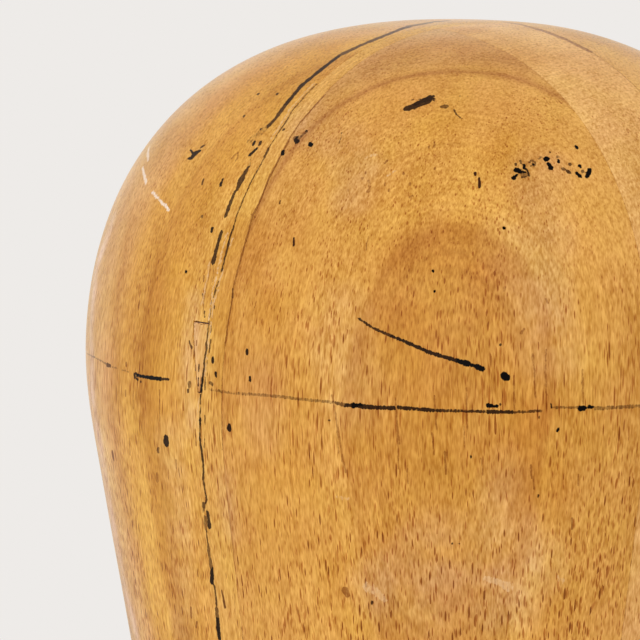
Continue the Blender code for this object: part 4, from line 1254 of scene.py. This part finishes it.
rear = board(
    "rear_billet_wood",
    [(rear_point, -rearward)],
    [dowel_bores(OUTER_DOWELS), peg_bore(), slip_pocket()],
)
rear.data.materials.append(
    shellacked_beech(
        "shellacked_beech_rear_billet",
        ring_centre=(-136, -63),
        ring_lean=-0.1,
        figure=rear_figure,
        flecked=0.4,
    )
)
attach(rear, "root")
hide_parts("rear_billet")


# Repair slip: a tapering sliver of paler beech, let into the rear billet where the joint had opened at
# the ear. It is glued in flush, with its square end just over the head-size line.
slip_figure = [(100, "DEA964"), (400, "DCA661")]
slip = board("repair_slip_wood", [*slip_cuts(0.0), (rear_point, -rearward)], [])
slip.data.materials.append(
    shellacked_beech(
        "shellacked_beech_slip",
        ring_centre=(-60, -300),
        ring_lean=0.0,
        figure=slip_figure,
        flecked=0.3,
    )
)
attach(slip, "root")
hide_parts("repair_slip")


# Centre strip: a thin board of yellower beech between the two glue joints, a little thicker at the foot.
# The four outer dowels go right through it, and its foot carries the front edge of the peg bore.
strip_figure = [(40, "DCA451"), (400, "DCA451")]
strip = board(
    "centre_strip_wood",
    [(rear_point, rearward), (front_point, forward)],
    [dowel_bores(OUTER_DOWELS), peg_bore()],
)
strip.data.materials.append(
    shellacked_beech(
        "shellacked_beech_strip",
        ring_centre=(-60, -240),
        ring_lean=0.0,
        figure=strip_figure,
        flecked=0.3,
    )
)
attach(strip, "root")
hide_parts("centre_strip")


# Front right billet: pinkish beech on the right side of the face, cut near the heart of its tree, so that
# its growth rings come out as an arch over the temple. It is dowelled back through the strip.
front_right_figure = [
    (30, "D09341"), (50, "D29644"), (57.2, "D09343"), (58.4, "C7893D"), (59.8, "DAA04C"), (70, "D99E4C"),
    (86.6, "D79C4E"), (88.2, "B97C3D"), (89.8, "D1974D"), (94, "CC9451"), (100, "CF9755"), (112, "D6A465"),
]
front_right = board(
    "front_right_billet_wood",
    [(front_point, -forward), (core_right_point, leftward)],
    [dowel_bores(("dowel_upper_right", "dowel_lower_right", *CORE_DOWELS))],
)
front_right.data.materials.append(
    shellacked_beech(
        "shellacked_beech_front_right",
        ring_centre=(-96, -103),
        ring_lean=0.0,
        figure=front_right_figure,
        flecked=0.42,
    )
)
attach(front_right, "root")
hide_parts("front_right_billet")


# Front core board: plain yellow beech, 22 mm thick, down the middle of the face. Its two glue joints are
# tight, the one on the left edged with a thin brown line of old glue.
core_figure = [(100, "DFA65F"), (230, "DFA65F"), (260, "E3AD66"), (330, "DFA65F")]
core = board(
    "front_core_board_wood",
    [(front_point, -forward), (core_right_point, -leftward), (core_left_point, leftward)],
    [dowel_bores(CORE_DOWELS)],
)
core.data.materials.append(
    shellacked_beech(
        "shellacked_beech_core",
        ring_centre=(-40, 220),
        ring_lean=0.0,
        figure=core_figure,
        flecked=0.3,
    )
)
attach(core, "root")
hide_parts("front_core_board")


# Front left billet: honey-coloured beech on the left side of the face, the fifth board of the blank. It
# is dowelled like its opposite.
front_left_figure = [(40, "DAA155"), (80, "D69B50"), (100, "DCA65B"), (120, "D49B52"), (160, "DCA65B")]
front_left = board(
    "front_left_billet_wood",
    [(front_point, -forward), (core_left_point, -leftward)],
    [dowel_bores(("dowel_upper_left", "dowel_lower_left", *CORE_DOWELS))],
)
front_left.data.materials.append(
    shellacked_beech(
        "shellacked_beech_front_left",
        ring_centre=(150, -120),
        ring_lean=0.0,
        figure=front_left_figure,
        flecked=0.34,
    )
)
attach(front_left, "root")
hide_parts("front_left_billet")

skin.free()


# Dowels: six turned beech pins, glued in blind bores across the joints, so they are bare and pale. Their
# solids are the CAD model's own.
PIN_FIBRES_PER_MM = 1.4


def bare_beech(name, grain_stretch):
    """Bare turned beech: fine pale streaks along the pin."""
    material = bpy.data.materials.new(name)
    material.use_nodes = True
    tree = material.node_tree
    shader = tree.nodes["Principled BSDF"]
    spot = add_node(tree, "TexCoord").outputs["Object"]
    along = add_node(
        tree, "VectorMath", {0: spot, 1: [stretch / MM for stretch in grain_stretch]}, operation="MULTIPLY"
    ).outputs[0]
    grain = add_node(
        tree, "TexNoise", {"Vector": along, "Scale": PIN_FIBRES_PER_MM, "Detail": 4.0}
    ).outputs[0]
    share = add_node(tree, "MapRange", {"Value": grain, "From Min": 0.3, "From Max": 0.7}).outputs[0]
    colour = add_node(
        tree, "Mix", {"Factor": share, "A": linear("C69C6C"), "B": linear("DDBB8E")}, data_type="RGBA"
    ).outputs["Result"]
    tree.links.new(colour, shader.inputs["Base Color"])
    shader.inputs["Roughness"].default_value = 0.65
    bump = add_node(tree, "Bump", {"Strength": 0.3, "Distance": GRAIN_RELIEF, "Height": grain})
    tree.links.new(bump.outputs[0], shader.inputs["Normal"])
    return material


for dowels, wood in (
    (OUTER_DOWELS, bare_beech("bare_beech_outer_dowels", (1, 0.06, 1))),
    (CORE_DOWELS, bare_beech("bare_beech_core_dowels", (0.06, 1, 1))),
):
    for dowel in dowels:
        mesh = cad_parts[dowel].data
        mesh.materials.clear()
        mesh.materials.append(wood)


# Floor and light: matt pale paper under a soft, nearly shadowless studio light, with one large lamp high
# on the left of the photographer.
BACKDROP = "EEEBE8"
FLOOR_RADIUS = 4.0
FLOOR_SIDES = 128
FLOOR_DROP = 0.1 * MM
SHADOW_REACH = 0.15
OPEN_FLOOR = 0.6
GLOW_AT_BLOCK = 0.4

floor_mesh = bmesh.new()
bmesh.ops.create_circle(
    floor_mesh,
    cap_ends=True,
    segments=FLOOR_SIDES,
    radius=FLOOR_RADIUS,
    matrix=Matrix.Translation((0, 0, -FLOOR_DROP)),
)
mesh = bpy.data.meshes.new("floor")
floor_mesh.to_mesh(mesh)
floor_mesh.free()
floor = bpy.data.objects.new("floor", mesh)
bpy.context.scene.collection.objects.link(floor)
paper = bpy.data.materials.new("matt_pale_paper")
paper.use_nodes = True
tree = paper.node_tree
shader = tree.nodes["Principled BSDF"]
shader.inputs["Base Color"].default_value = linear(BACKDROP)
shader.inputs["Roughness"].default_value = 0.9
glow = add_node(tree, "Emission", {"Color": linear(BACKDROP), "Strength": 1.0})
spot = add_node(tree, "TexCoord").outputs["Object"]
far = add_node(tree, "VectorMath", {0: spot}, operation="LENGTH").outputs["Value"]
fade = add_node(
    tree,
    "MapRange",
    {"Value": far, "From Min": SHADOW_REACH, "From Max": OPEN_FLOOR, "To Min": GLOW_AT_BLOCK},
).outputs[0]
path = add_node(tree, "LightPath")
shown = add_node(tree, "Math", {0: path.outputs["Is Camera Ray"], 1: fade}, operation="MULTIPLY").outputs[0]
mix = add_node(tree, "MixShader", {0: shown, 1: shader.outputs[0], 2: glow.outputs[0]})
tree.links.new(mix.outputs[0], tree.nodes["Material Output"].inputs["Surface"])
floor.data.materials.append(paper)

DOME_STRENGTH = 0.84
LAMP_SIDE = 1.4
LAMP_POWER = 9
LAMP_PLACE = Vector((-1.65, -0.9, 0.9))

world = bpy.data.worlds.new("studio")
bpy.context.scene.world = world
world.use_nodes = True
tree = world.node_tree
soft = tree.nodes["Background"]
soft.inputs["Color"].default_value = (1.0, 1.0, 1.0, 1.0)
soft.inputs["Strength"].default_value = DOME_STRENGTH
seen = add_node(tree, "Background", {"Color": linear(BACKDROP), "Strength": 1.0})
path = add_node(tree, "LightPath")
direct = add_node(
    tree, "Math", {0: path.outputs["Is Camera Ray"], 1: path.outputs["Is Glossy Ray"]}, operation="MAXIMUM"
).outputs[0]
mix = add_node(tree, "MixShader", {0: direct, 1: soft.outputs[0], 2: seen.outputs[0]})
tree.links.new(mix.outputs[0], tree.nodes["World Output"].inputs["Surface"])

key = bpy.data.objects.new("key_light", bpy.data.lights.new("key_light", "AREA"))
key.data.size = LAMP_SIDE
key.data.energy = LAMP_POWER
key.location = LAMP_PLACE
key.rotation_euler = (Vector((0, 0, LINE_LEVEL)) - LAMP_PLACE).to_track_quat("-Z", "Y").to_euler()
bpy.context.scene.collection.objects.link(key)
